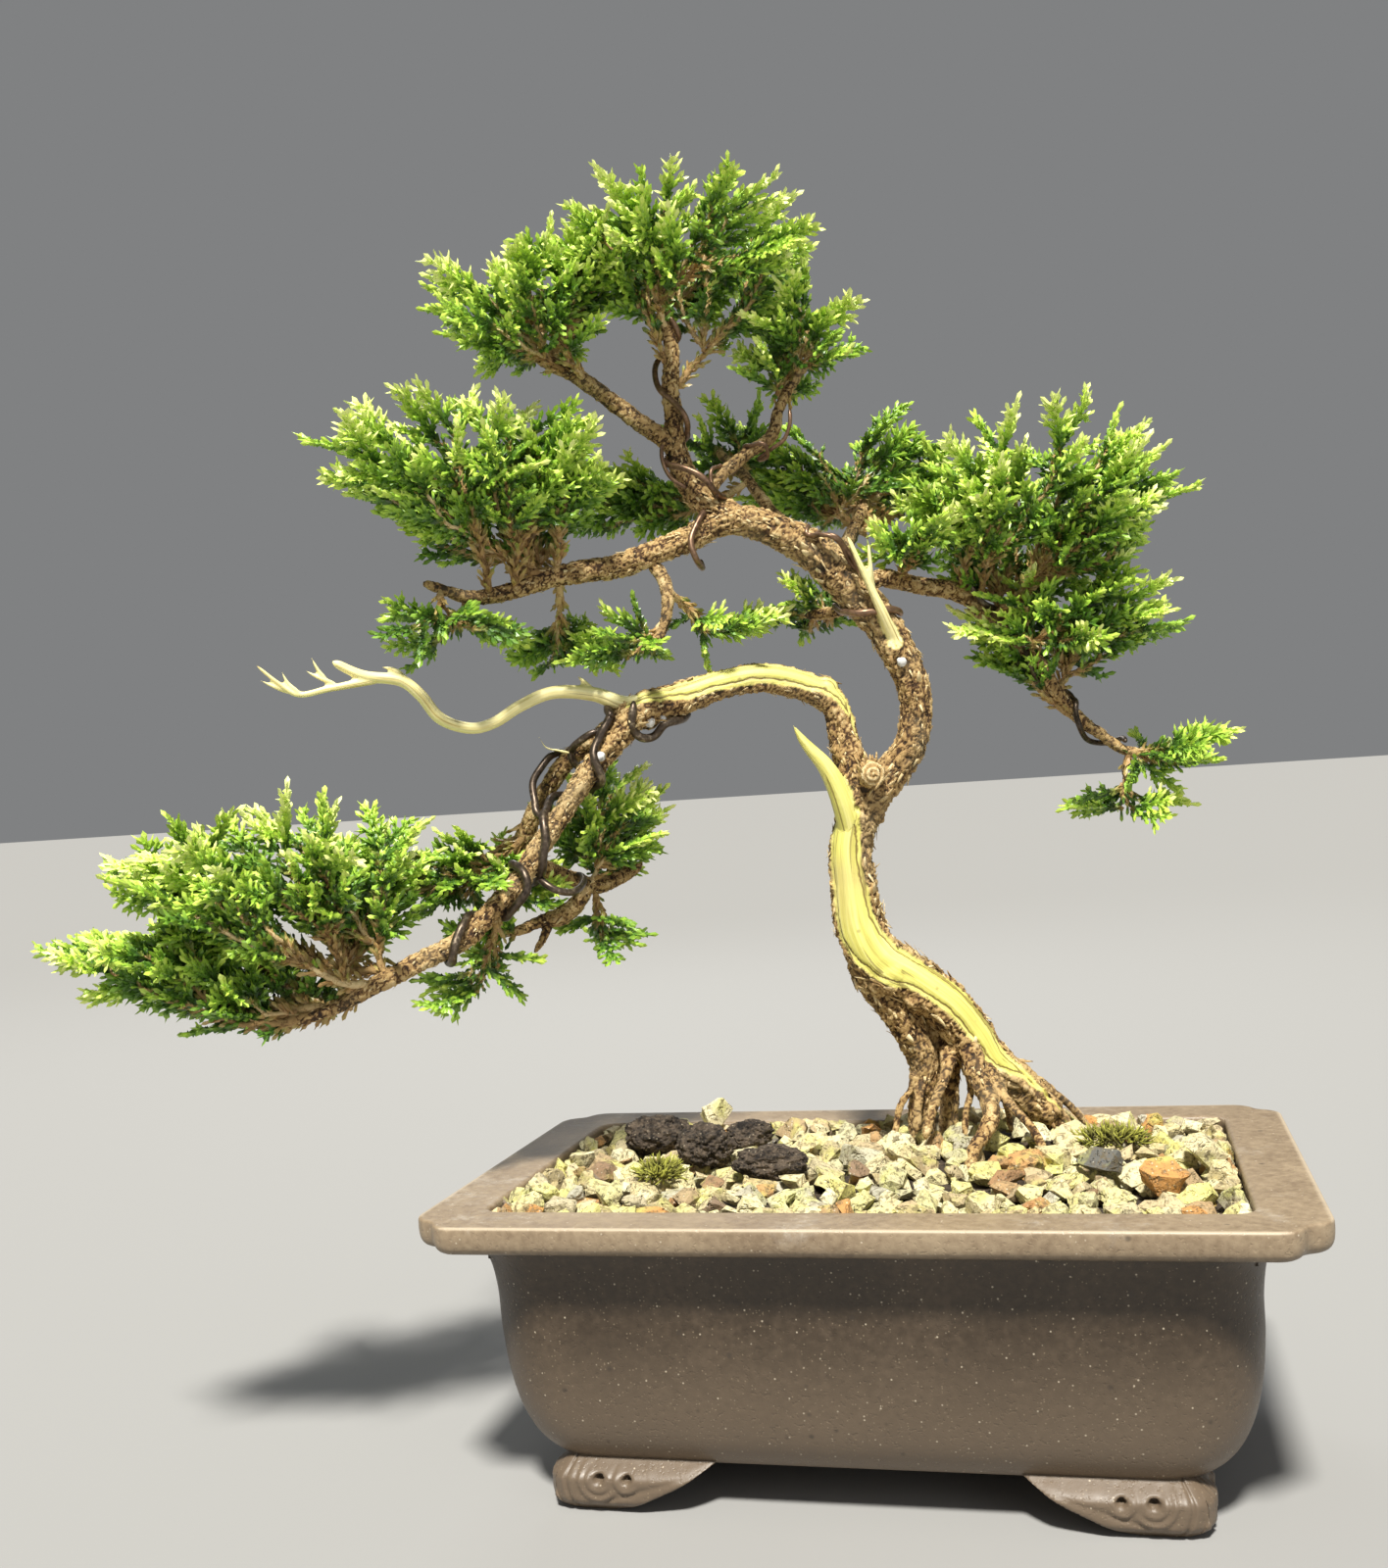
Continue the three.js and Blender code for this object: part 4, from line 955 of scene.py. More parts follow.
BARE_SPUR = [[-72, -12, 183, 0.8], [-75, -14, 184, 0.6], [-78, -15, 185, 0.5], [-79.5, -16, 188, 0.35]]
LEFT_BRANCH = [
    [-26, 3, 243, 3.6], [-33, 0, 241, 3.2], [-40, -4, 237, 3], [-48, -8, 234, 2.9],
    [-57, -12, 231, 2.8], [-64, -16, 230, 2.7], [-71, -20, 229, 2.4], [-77, -23, 227, 2.2],
    [-83, -27, 225, 1.9], [-90, -31, 224, 1.6], [-95, -34, 226, 1.2], [-100, -37, 228, 0.9],
]
UNDER_TWIG = [
    [-48, -8, 232, 1.6], [-45, -8, 227, 1.5], [-44, -9, 222, 1.4], [-45, -10, 215, 1.2],
    [-48, -12, 209, 0.9],
]
APEX_LEADER = [
    [-27, 2, 241, 3.4], [-34, 1, 247, 3.2], [-39, 0, 254, 3], [-41, -1, 262, 2.7], [-41, -2, 271, 2.2],
    [-41, -3, 279, 2], [-40, -3, 287, 1.7], [-41, -4, 298, 1.2], [-42, -4, 308, 0.9],
]
APEX_LEFT_BRANCH = [
    [-39, 0, 258, 2.2], [-41, -1, 262, 2.2], [-45, -3, 266, 2.2], [-50, -5, 270, 2.1],
    [-59, -9, 278, 2], [-65, -11, 283, 1.9], [-72, -14, 287, 1.6], [-79, -16, 293, 1.1],
]
APEX_RIGHT_BRANCH = [
    [-37, 1, 251, 1.6], [-34, 2, 251, 1.5], [-29, 4, 256, 1.3], [-24, 6, 260, 1.4], [-17, 9, 265, 1.4],
    [-15, 11, 272, 1.2], [-12, 13, 278, 1.1], [-7, 15, 285, 0.9],
]
RIGHT_BRANCH = [
    [0, 12, 220, 2.2], [3, 20, 223, 2.2], [8, 24, 226, 2.2], [16, 28, 224, 2.1], [25, 31, 222, 2.1],
    [31, 33, 219, 2.2], [35, 34, 214, 2], [41, 34, 206, 1.9], [48, 35, 200, 1.8], [53, 37, 191, 1.6],
    [59, 38, 183, 1.4], [63, 39, 180, 1.3], [69, 40, 175, 1.1], [78, 42, 173, 0.8],
]
BACK_BRANCH = [
    [-6, 8, 232, 2], [-12, 16, 238, 1.8], [-20, 20, 246, 1.4], [-29, 26, 259, 1.2], [-37, 30, 267, 0.9],
]
BACK_RIGHT_BRANCH = [[-4, 9, 228, 2.2], [-1, 24, 236, 1.9], [2, 36, 246, 1.5], [3, 44, 252, 1.2]]
LOW_BACK_TWIG = [[3, 11, 220, 1.5], [-3, 22, 218, 1.3], [-14, 28, 218, 1.1]]
BRANCHES = {
    "cascade_branch": [CASCADE_BRANCH],
    "cascade_back_branch": [CASCADE_BACK_BRANCH],
    "cascade_side_branch": [CASCADE_SIDE_BRANCH, CASCADE_LOW_TWIG, CASCADE_LOW_SPUR],
    "left_branch": [LEFT_BRANCH, UNDER_TWIG],
    "apex_leader": [APEX_LEADER],
    "apex_left_branch": [APEX_LEFT_BRANCH],
    "apex_right_branch": [APEX_RIGHT_BRANCH],
    "right_branch": [RIGHT_BRANCH],
    "back_branch": [BACK_BRANCH],
    "back_right_branch": [BACK_RIGHT_BRANCH],
    "low_back_twig": [LOW_BACK_TWIG],
}
# Swellings of the trunk and limbs, and the ringed scar at the fork: [x, y, z, radius]
BURLS = [
    (2, 11, 167, 3.4), (6, 12, 168, 3.2), (43, 27, 79, 4.0), (41, 25, 84, 2.4), (12, 16, 113, 5.5),
    (-7, 11, 196, 3.4), (12, 11, 206, 3.8), (-29, 4, 244, 4.0), (-52, -9, 193, 4.8),
    (-55, -11, 192, 4.2), (24, 20, 99, 5.0), (5, 14, 119, 6.6), (14, 26, 102, 5.2), (16, 26, 93, 4.2),
]
HEALED_CUTS = [(4.5, 6.6, 172.5, 3.5)]

VIEW_TURN = 14.34  # the front of the tree is turned by this many degrees from the pot's front
TOWARDS_FRONT = unit(np.array([0.248, -0.969, 0.0]))

# Where bark is gone: for each point of a line, (centre of the strip, half its width), in degrees round the
# branch from its front, counted to the right on the trunk and upwards on the limb
TRUNK_STRIP = [
    (40, 0), (40, 0), (38, 0), (36, 14), (32, 30), (30, 38), (26, 42), (20, 42), (6, 50), (-14, 58),
    (-28, 58), (-34, 58), (-70, 60),
]
LIMB_STRIP = [
    (60, 0), (60, 0), (60, 6), (56, 18), (48, 40), (36, 54), (30, 58), (28, 58), (30, 44), (40, 26),
    (44, 24),
]
NO_STRIP, ALL_BARE = "no strip", "all bare"
NOWHERE, ALL_ROUND = (0.0, -90.0), (0.0, 5000.0)  # strips that bare nothing and everything


def strip_along(points, strip, line):
    """The strip's centre and half width in degrees at each point of a dense line."""
    given = np.array(points, float)[:, :3]
    walked = walked_to(given)
    along = walked_to(line[:, :3])
    along *= walked[-1] / along[-1]
    return np.stack([np.interp(along, walked, np.array(strip, float)[:, k]) for k in (0, 1)], axis=1)


def cracks(places, scale, seed):
    """0 in a crack and 1 away from it, for plates about 1/scale across."""
    first = np.abs(fractal(places * scale, 2, seed))
    second = np.abs(fractal(places * scale + 31.7, 2, seed + 5))
    return smoothstep(0.0, 0.16, np.minimum(first, second))


def wood(name, parts, voxel=0.5, roughness=1.0, burls=(), seed=1, rings=()):
    """Branches melted together, with bark relief, bare strips and grain.

    parts is a list of (points, strip); burls are lumps [x, y, z, radius]; rings are the centres of healed
    cuts [x, y, z, radius], which show growth rings.
    """
    lines = [smooth_line(points, 0.8) for points, _ in parts]
    shells = Shells()
    for line in lines:
        shells.add(*tube(rounded_ends(line), 20))
    ball, ball_faces = icosphere(3)
    for x, y, z, radius in list(burls) + list(rings):
        shells.add(ball * radius + [x, y, z], [ball_faces])
    vertices, normals, faces = fuse(shells, voxel)
    edge, coordinates, radius, along, pale = wood_places(vertices, parts, lines)
    edge = edge + 0.7 * fractal(vertices * 0.4, 3, seed) * (np.abs(edge) < 40)
    bare = smoothstep(-0.3, 0.3, edge)
    thick = np.clip(radius / 5, 0.3, 1.2)
    warped = vertices + 0.9 * np.stack([fractal(vertices * 0.5, 2, seed + k) for k in (2, 4, 6)], axis=1)
    fibre = fractal(coordinates * [0.8, 0.8, 0.16], 3, seed + 3)
    lumps = fractal(vertices * 0.28, 3, seed + 7)
    along_bark = coordinates * [0.5, 0.5, 0.26] + 0.5 * fractal(vertices * 0.6, 2, seed + 2)[:, None]
    plates = np.minimum(cracks(warped, 0.30, seed + 9), cracks(along_bark, 1.0, seed + 13))
    chips = fractal(warped * 0.95, 2, seed + 15)
    bark = 0.5 * lumps + 0.6 * fibre + 0.5 * (plates - 0.6) + 0.25 * chips
    sinew = fractal(coordinates * [0.35, 0.35, 0.012], 2, seed + 11)
    groove = np.exp(-(((edge - 1.3) / 0.35) ** 2)) * (edge < 20)
    bark_lift = 0.3 + 1.05 * roughness * thick * bark
    wood_lift = 0.3 * thick * sinew - 0.3 - 0.35 * groove
    lift = (1 - bare) * bark_lift + bare * wood_lift
    knot = np.zeros(len(vertices))
    knot_tone = np.zeros(len(vertices))
    for x, y, z, size in rings:
        away = np.linalg.norm(vertices - [x, y, z], axis=1)
        front = unit(vertices - [x, y, z]) @ TOWARDS_FRONT
        on_knot = smoothstep(size + 1.2, size - 0.4, away) * smoothstep(0.2, 0.6, front)
        turn_off = np.degrees(np.arccos(np.clip(front, -1, 1)))
        lift += on_knot * (0.45 * np.cos(turn_off * 0.26) + 0.2 - lift * 0.7)
        knot += on_knot
        knot_tone += on_knot * (0.72 + 0.26 * np.cos(turn_off * 0.26))
    vertices = vertices + normals * lift[:, None]
    # The bark's colour follows its height: painted shade darkens it in the cracks between plates, and it is
    # lighter on raised lumps, chips and fibres.
    gaps = smoothstep(0.35, 0.0, plates)
    relief = (0.60 + 0.14 * lumps - 0.45 * gaps + 0.10 * chips + 0.20 * fibre) * (1 - knot) + knot_tone
    relief = np.clip(relief, 0, 1)
    made = Shells()
    made.add(vertices, faces, bare=bare, relief=relief, edge=np.clip(edge, -5, 5), pale=pale)
    loose = (bare < 0.2) & (radius > 1.2)
    add_bark_flakes(made, vertices[loose], normals[loose], along[loose], thick[loose], seed)
    built = build_object(name, made)
    grain = np.zeros((made.count, 3))
    grain[: len(vertices)] = coordinates * [1, 1, 0.03]
    set_grain(built, grain)
    return built


def set_grain(built, grain):
    """Stores each vertex's place across and along the grain."""
    attribute = built.data.attributes.new("grain", "FLOAT_VECTOR", "POINT")
    attribute.data.foreach_set("vector", grain.astype(np.float32).ravel())


def wood_places(vertices, parts, lines):
    """For each vertex: how far inside a bare strip it is, its place across and along the grain, the
    branch's radius and direction, and 1 where the wood is silvered."""
    centres, alongs, sides, ups, radii, walks, strips, pales = [], [], [], [], [], [], [], []
    for (points, strip), line in zip(parts, lines):
        along, side, up = carried_frames(line)
        centres.append(line[:, :3])
        alongs.append(along)
        sides.append(side)
        ups.append(up)
        radii.append(line[:, 3])
        walks.append(walked_to(line[:, :3]))
        pales.append(np.full(len(line), float(strip is ALL_BARE)))
        if strip is NO_STRIP or strip is ALL_BARE:
            strips.append(np.tile(NOWHERE if strip is NO_STRIP else ALL_ROUND, (len(line), 1)))
        else:
            strips.append(strip_along(points, strip, line))
    centres, alongs, sides, ups, strips = (np.vstack(v) for v in (centres, alongs, sides, ups, strips))
    radii, walks, pales = (np.concatenate(v) for v in (radii, walks, pales))
    nearest = np.empty(len(vertices), int)
    for start in range(0, len(vertices), 4000):
        chunk = vertices[start : start + 4000]
        away = np.linalg.norm(chunk[:, None] - centres[None], axis=2) - radii[None]
        nearest[start : start + 4000] = away.argmin(axis=1)
    out = vertices - centres[nearest]
    along = alongs[nearest]
    out -= along * np.sum(out * along, axis=1, keepdims=True)
    front = unit(TOWARDS_FRONT - along * (along @ TOWARDS_FRONT)[:, None])
    round_from_front = np.degrees(
        np.arctan2(np.sum(out * np.cross(along, front), axis=1), np.sum(out * front, axis=1))
    )
    centre, half = strips[nearest].T
    away = np.abs((round_from_front - centre + 180) % 360 - 180)
    radius = radii[nearest]
    inside = np.radians(half - away) * radius
    coordinates = np.stack(
        [np.sum(out * sides[nearest], axis=1), np.sum(out * ups[nearest], axis=1), walks[nearest]], axis=1
    )
    return inside, coordinates, radius, along, pales[nearest]


FLAKE = np.array([
    [0, -0.5, -0.2], [0, 0.5, -0.2], [0, 0.5, 0.08], [0, -0.5, 0.08],
    [0.6, -0.42, 0.1], [0.6, 0.45, 0.1], [0.6, 0.42, 0.25], [0.6, -0.38, 0.25],
    [1, -0.12, 0.42], [1, 0.2, 0.42], [1, 0.18, 0.5], [1, -0.1, 0.5],
])
FLAKE_FACES = np.array([
    [0, 1, 2, 3], [0, 4, 5, 1], [1, 5, 6, 2], [2, 6, 7, 3], [3, 7, 4, 0],
    [4, 8, 9, 5], [5, 9, 10, 6], [6, 10, 11, 7], [7, 11, 8, 4], [8, 11, 10, 9],
])
FLAKES_PER_VERTEX = 0.035


def add_bark_flakes(made, places, normals, along, thick, seed):
    """Thin curled flakes of bark, lying along the branch and lifting at one end."""
    rng = np.random.default_rng(seed + 50)
    count = int(len(places) * FLAKES_PER_VERTEX)
    if not count:
        return
    chosen = rng.choice(len(places), count, replace=False)
    forward = along[chosen] * rng.choice([-1, 1], (count, 1)) + normals[chosen] * 0.1
    forward = unit(forward + rng.normal(0, 0.22, (count, 3)))
    upward = unit(normals[chosen] - forward * np.sum(normals[chosen] * forward, axis=1, keepdims=True))
    sideways = np.cross(upward, forward)
    size = thick[chosen, None] * rng.uniform(0.5, 1.0, (count, 1)) ** 1.5
    length = size * rng.uniform(1.8, 4.2, (count, 1))
    width = size * rng.uniform(0.7, 1.8, (count, 1))
    lift = size * rng.uniform(0.4, 1.1, (count, 1))
    vertices = (
        places[chosen, None]
        + forward[:, None] * (FLAKE[None, :, :1] * length[:, None])
        + sideways[:, None] * (FLAKE[None, :, 1:2] * width[:, None])
        + upward[:, None] * (FLAKE[None, :, 2:] * lift[:, None])
    )
    rows = (np.arange(count)[:, None, None] * len(FLAKE) + FLAKE_FACES).reshape(-1, 4)
    tones = np.repeat(rng.uniform(0.45, 0.95, count), len(FLAKE))
    made.add(vertices.reshape(-1, 3), [rows], bare=0.0, relief=tones, edge=-5.0, pale=0.0)


def make_wood():
    fresh_wood = [ALL_ROUND] * len(TRUNK_STUB)  # yellow, where ALL_BARE is silvered
    trunk_parts = [(TRUNK, TRUNK_STRIP), (SECOND_LEG, NO_STRIP), (TRUNK_STUB, fresh_wood)]
    trunk_parts += [(root, NO_STRIP) for root in SURFACE_ROOTS]
    trunk_parts += [(CASCADE_LIMB, LIMB_STRIP), (UPPER_LIMB, NO_STRIP)]
    trunk_parts += [(UPPER_STUB, ALL_BARE), (SECOND_STUB, ALL_BARE)]
    trunk = wood("trunk_and_limbs", trunk_parts, voxel=0.51, burls=BURLS, rings=HEALED_CUTS)
    settle(trunk, BARK, "bark", "trunk", "cascade_limb", "upper_limb")
    dead_parts = [(points, ALL_BARE) for points in [DEAD_BRANCH] + DEAD_TWIGS]
    dead = wood("dead_branch", dead_parts, voxel=0.3, roughness=0.6, seed=21)
    settle(dead, BARK, "deadwood", "dead_branch")
    for seed, (name, lines) in enumerate(BRANCHES.items()):
        parts = [(points, NO_STRIP) for points in lines]
        if name == "cascade_back_branch":
            parts.append((BARE_SPUR, ALL_BARE))
        built = wood(name, parts, voxel=0.36, roughness=1.3, seed=30 + 7 * seed)
        settle(built, BARK, "bark", name)


# ---------------------------------------------------------------- wires

# Each wire: the branches that it lies against, its radius, whether it is bronze, and its route [x, y, z]
WIRES = {
    "wire_cascade": ([CASCADE_BRANCH, CASCADE_LIMB], 1.15, True, [
        [-54, 0, 193], [-56, -4, 192], [-58, -13, 192], [-61, -17, 189], [-63, -18, 184],
        [-64, -18, 179], [-65, -16, 175], [-69, -11, 172], [-74, -10, 172], [-77, -14, 172],
        [-77, -19, 170], [-76, -24, 166], [-76, -26, 161], [-77, -27, 157], [-78, -26, 153],
        [-81, -22, 150], [-85, -19, 151], [-87, -22, 153], [-84, -28, 155], [-80, -32, 153],
        [-79, -33, 149], [-81, -34, 146], [-85, -32, 143], [-91, -28, 142], [-94, -31, 143],
        [-95, -38, 141], [-96, -40, 138], [-98, -40, 134], [-101, -36, 132],
    ]),
    "wire_cascade_back": ([CASCADE_BRANCH, CASCADE_BACK_BRANCH], 1.0, True, [
        [-58, -5, 189], [-62, -10, 188], [-65, -14, 188], [-69, -14, 186], [-72, -12, 184],
        [-73, -6, 180], [-74, -3, 182], [-76, -6, 183], [-78, -11, 183], [-80, -14, 180],
        [-82, -16, 176], [-81, -18, 171], [-80, -20, 168], [-78, -19, 166], [-76, -14, 166],
    ]),
    "wire_cascade_side": ([CASCADE_BRANCH, CASCADE_SIDE_BRANCH], 0.95, True, [
        [-84, -19, 155], [-80, -23, 152], [-77, -26, 150], [-74, -26, 148], [-71, -23, 147],
        [-70, -18, 148], [-71, -12, 150], [-74, -9, 151],
    ]),
    "wire_upper_limb": ([UPPER_LIMB], 0.95, False, [
        [-4, 15, 219], [-2, 11, 217], [3, 5, 215], [7, 5, 215], [11, 9, 215], [12, 13, 213],
    ]),
    "wire_left_branch": ([LEFT_BRANCH, APEX_LEADER], 0.85, False, [
        [-38, 5, 233], [-36, -1, 230], [-36, -8, 232], [-37, -8, 236], [-36, -6, 240], [-34, -2, 244],
        [-32, 4, 246], [-30, 1, 248], [-31, -4, 250], [-33, -6, 253], [-38, -6, 256], [-43, -4, 258],
        [-43, 0, 261],
    ]),
    "wire_apex": ([APEX_LEADER], 0.8, False, [
        [-43, 0, 260], [-41, 2, 264], [-37, -3, 267], [-37, -6, 270], [-40, -6, 274], [-43, -6, 277],
        [-45, -3, 282], [-45, 1, 287], [-41, 1, 290], [-38, -3, 292], [-39, -6, 296],
    ]),
    "wire_apex_right": ([APEX_RIGHT_BRANCH], 0.55, False, [
        [-30, -3, 248], [-32, -1, 252], [-32, 0, 256], [-30, 3, 257], [-28, 7, 256], [-25, 8, 259],
        [-22, 5, 262], [-18, 4, 262], [-18, 7, 259], [-21, 9, 259], [-17, 7, 261], [-13, 6, 263],
        [-11, 5, 267], [-11, 6, 271],
    ]),
    "wire_right_branch": ([RIGHT_BRANCH], 0.8, True, [
        [28, 30, 225], [31, 29, 223], [34, 31, 218], [37, 36, 213], [40, 39, 210], [44, 37, 209],
        [45, 32, 205], [46, 31, 200], [48, 35, 195], [53, 40, 193], [56, 40, 191], [57, 36, 187],
        [58, 34, 182], [60, 38, 178], [66, 43, 177], [69, 42, 178], [70, 38, 177],
    ]),
}
# Shorter and thinner strands that lie beside them: (branches, radius, route)
STRANDS = {
    "wire_upper_limb": [
        ([UPPER_LIMB], 0.6, [
            [-11, 9, 235], [-9, 4, 236], [-5, 1, 236], [-1, 0, 235], [1, 2, 233], [2, 4, 230],
            [4, 7, 226],
        ]),
        ([UPPER_LIMB], 0.6, [
            [-8, 7, 235], [-5, 2, 236], [0, 1, 235], [2, 3, 232], [4, 5, 228], [5, 8, 224],
        ]),
    ],
    "wire_apex": [
        ([APEX_LEADER], 0.55, [
            [-38, -4, 251], [-42, -5, 254], [-44, -5, 259], [-44, -4, 263], [-42, 0, 267],
        ]),
    ],
    "wire_cascade": [
        ([CASCADE_LIMB], 1.15, [
            [-43, 2, 192], [-44, -5, 190], [-47, -9, 189], [-50, -9, 186], [-53, -12, 186],
            [-55, -14, 190], [-54, -12, 194],
        ]),
    ],
}


def lying_against(route, branches, radius):
    """A wire's line, moved out of any branch that it would cut into."""
    line = smooth_line([[*point, radius] for point in route], 0.6)
    cores = np.vstack([smooth_line(branch, 0.6) for branch in branches])
    for _ in range(3):
        away = np.linalg.norm(line[:, None, :3] - cores[None, :, :3], axis=2) - cores[None, :, 3]
        nearest = away.argmin(axis=1)
        gap = away[np.arange(len(line)), nearest]
        outward = unit(line[:, :3] - cores[nearest, :3])
        line[:, :3] += outward * np.maximum(radius + 0.25 - gap, 0)[:, None]
        middle = (line[:-2, :3] + 2 * line[1:-1, :3] + line[2:, :3]) / 4
        line[1:-1, :3] = middle
    return line


def make_wires():
    for name, (branches, radius, bronze, route) in WIRES.items():
        shells = Shells()
        shells.add(*tube(rounded_ends(lying_against(route, branches, radius)), 14))
        for beside, thin, strand in STRANDS.get(name, []):
            shells.add(*tube(rounded_ends(lying_against(strand, beside, thin)), 12))
        settle(build_object(name, shells), BRONZE if bronze else COPPER, "wire", name)


# ---------------------------------------------------------------- foliage

SCALE_STEP = 1.15  # millimetres between rings of scale leaves
WIDE, NARROW = 1.45, 0.62
SPINE, SIDE, LITTLE, BUD = 0.84, 0.77, 0.67, 0.5  # radii of a frond's shoots and of a single shoot
SIDE_GAP, LITTLE_GAP = 1.75, 1.7  # millimetres between side shoots, and between little shoots on them


def shoot(shells, start, direction, upward, length, radius, bend, tone_start, tone_end):
    """A chain of scale leaves, closed at both ends. Gives back its centre line and directions."""
    rings = max(3, round(length / SCALE_STEP) + 1)
    share = np.linspace(0, 1, rings)[:, None]
    centres = start + direction * length * share + bend * share**2
    along = unit(np.gradient(centres, axis=0))
    side = unit(np.cross(upward, along))
    up = np.cross(along, side)
    taper = (1 - 0.4 * share**2) * radius
    wide = (np.arange(rings) % 2 == 1)[:, None]
    a = taper * np.where(wide, WIDE, NARROW)
    b = taper * np.where(wide, NARROW, WIDE)
    # the leaves' tips point forwards, past the ring that they grow from
    lean = along * radius * 1.1
    vertices = np.stack(
        [centres + side * a + lean * (a > b), centres + up * b + lean * (b > a),
         centres - side * a + lean * (a > b), centres - up * b + lean * (b > a)],
        axis=1,
    ).reshape(-1, 3)
    tip = centres[-1:] + along[-1:] * radius * 2.4
    last = (rings - 1) * 4
    ends = np.array([[last + k, last + (k + 1) % 4, len(vertices)] for k in range(4)])
    tones = np.concatenate([np.repeat(tone_start + (tone_end - tone_start) * share[:, 0], 4), [tone_end]])
    shells.add(np.vstack([vertices, tip]), ring_faces(rings, 4)[:2] + [ends], tone=tones)
    return centres, along


def leaning(rng, ahead, upward, number, lowest, highest):
    """A shoot's direction: 34 to 50 degrees off the one that it leaves, on alternate sides."""
    angle = math.radians(rng.uniform(34, 50))
    sideways = unit(np.cross(upward, ahead)) * (1 if number % 2 else -1)
    rise = upward * rng.uniform(lowest, highest)
    return unit(ahead * math.cos(angle) + sideways * math.sin(angle) + rise)


def frond(rng, length):
    """A flat feathery spray along +x, spread in the xy plane."""
    shells = Shells()
    upward = np.array([0.0, 0.0, 1.0])
    droop = np.array([0, rng.uniform(-0.14, 0.14) * length, rng.uniform(-0.14, 0.10) * length])
    centres, along = shoot(
        shells, np.zeros(3), np.array([1.0, 0, 0]), upward, length, SPINE, droop, 0.24, 1.0
    )
    for k in range(int(length / SIDE_GAP)):
        share = (k + 0.8 + rng.uniform(-0.2, 0.2)) * SIDE_GAP / length
        if share > 0.93:
            continue
        spot = share * (len(centres) - 1)
        low = int(spot)
        base = centres[low] + (centres[min(low + 1, len(centres) - 1)] - centres[low]) * (spot % 1)
        direction = leaning(rng, along[low], upward, k, -0.2, 0.35)
        swell = math.sin(min(1, 0.3 + share * 2.6) * math.pi / 2)
        reach = max(2.0, length * rng.uniform(0.30, 0.44) * (1 - 0.6 * share) * swell)
        tone = 0.28 + 0.36 * share
        bend = along[low] * reach * 0.16
        side_centres, side_along = shoot(
            shells, base, direction, upward, reach, SIDE, bend, tone, 0.78 + 0.22 * share
        )
        if reach < 3.0:
            continue
        twigs = int(reach / LITTLE_GAP)
        for m in range(twigs):
            place = (m + 0.7) / (twigs + 0.5)
            index = min(int(place * (len(side_centres) - 1)), len(side_centres) - 2)
            ahead = side_along[index]
            little = leaning(rng, ahead, upward, m, -0.3, 0.4)
            size = rng.uniform(1.5, 2.6)
            shoot(shells, side_centres[index], little, upward, size, LITTLE, ahead * 0.3, tone + 0.1, 1.0)
    return shells


def as_arrays(shells):
    quads = np.vstack([rows for rows in shells.faces if rows.shape[1] == 4])
    tris = np.vstack([rows for rows in shells.faces if rows.shape[1] == 3])
    return np.vstack(shells.vertices), quads, tris, np.concatenate(shells.values["tone"])


FROND_LENGTHS = (7, 9, 11, 13, 15, 17, 19)


def frond_library():
    """Three fronds of each length and three single short shoots, as arrays."""
    rng = np.random.default_rng(404)
    fronds = [(length, *as_arrays(frond(rng, length))) for length in FROND_LENGTHS * 3]
    buds = []
    for length in (2.2, 2.8, 3.4):
        shells = Shells()
        ahead, upward = np.array([1.0, 0, 0]), np.array([0, 0, 1.0])
        shoot(shells, np.zeros(3), ahead, upward, length, BUD, np.zeros(3), 0.0, 0.2)
        buds.append((length, *as_arrays(shells)))
    return fronds, buds
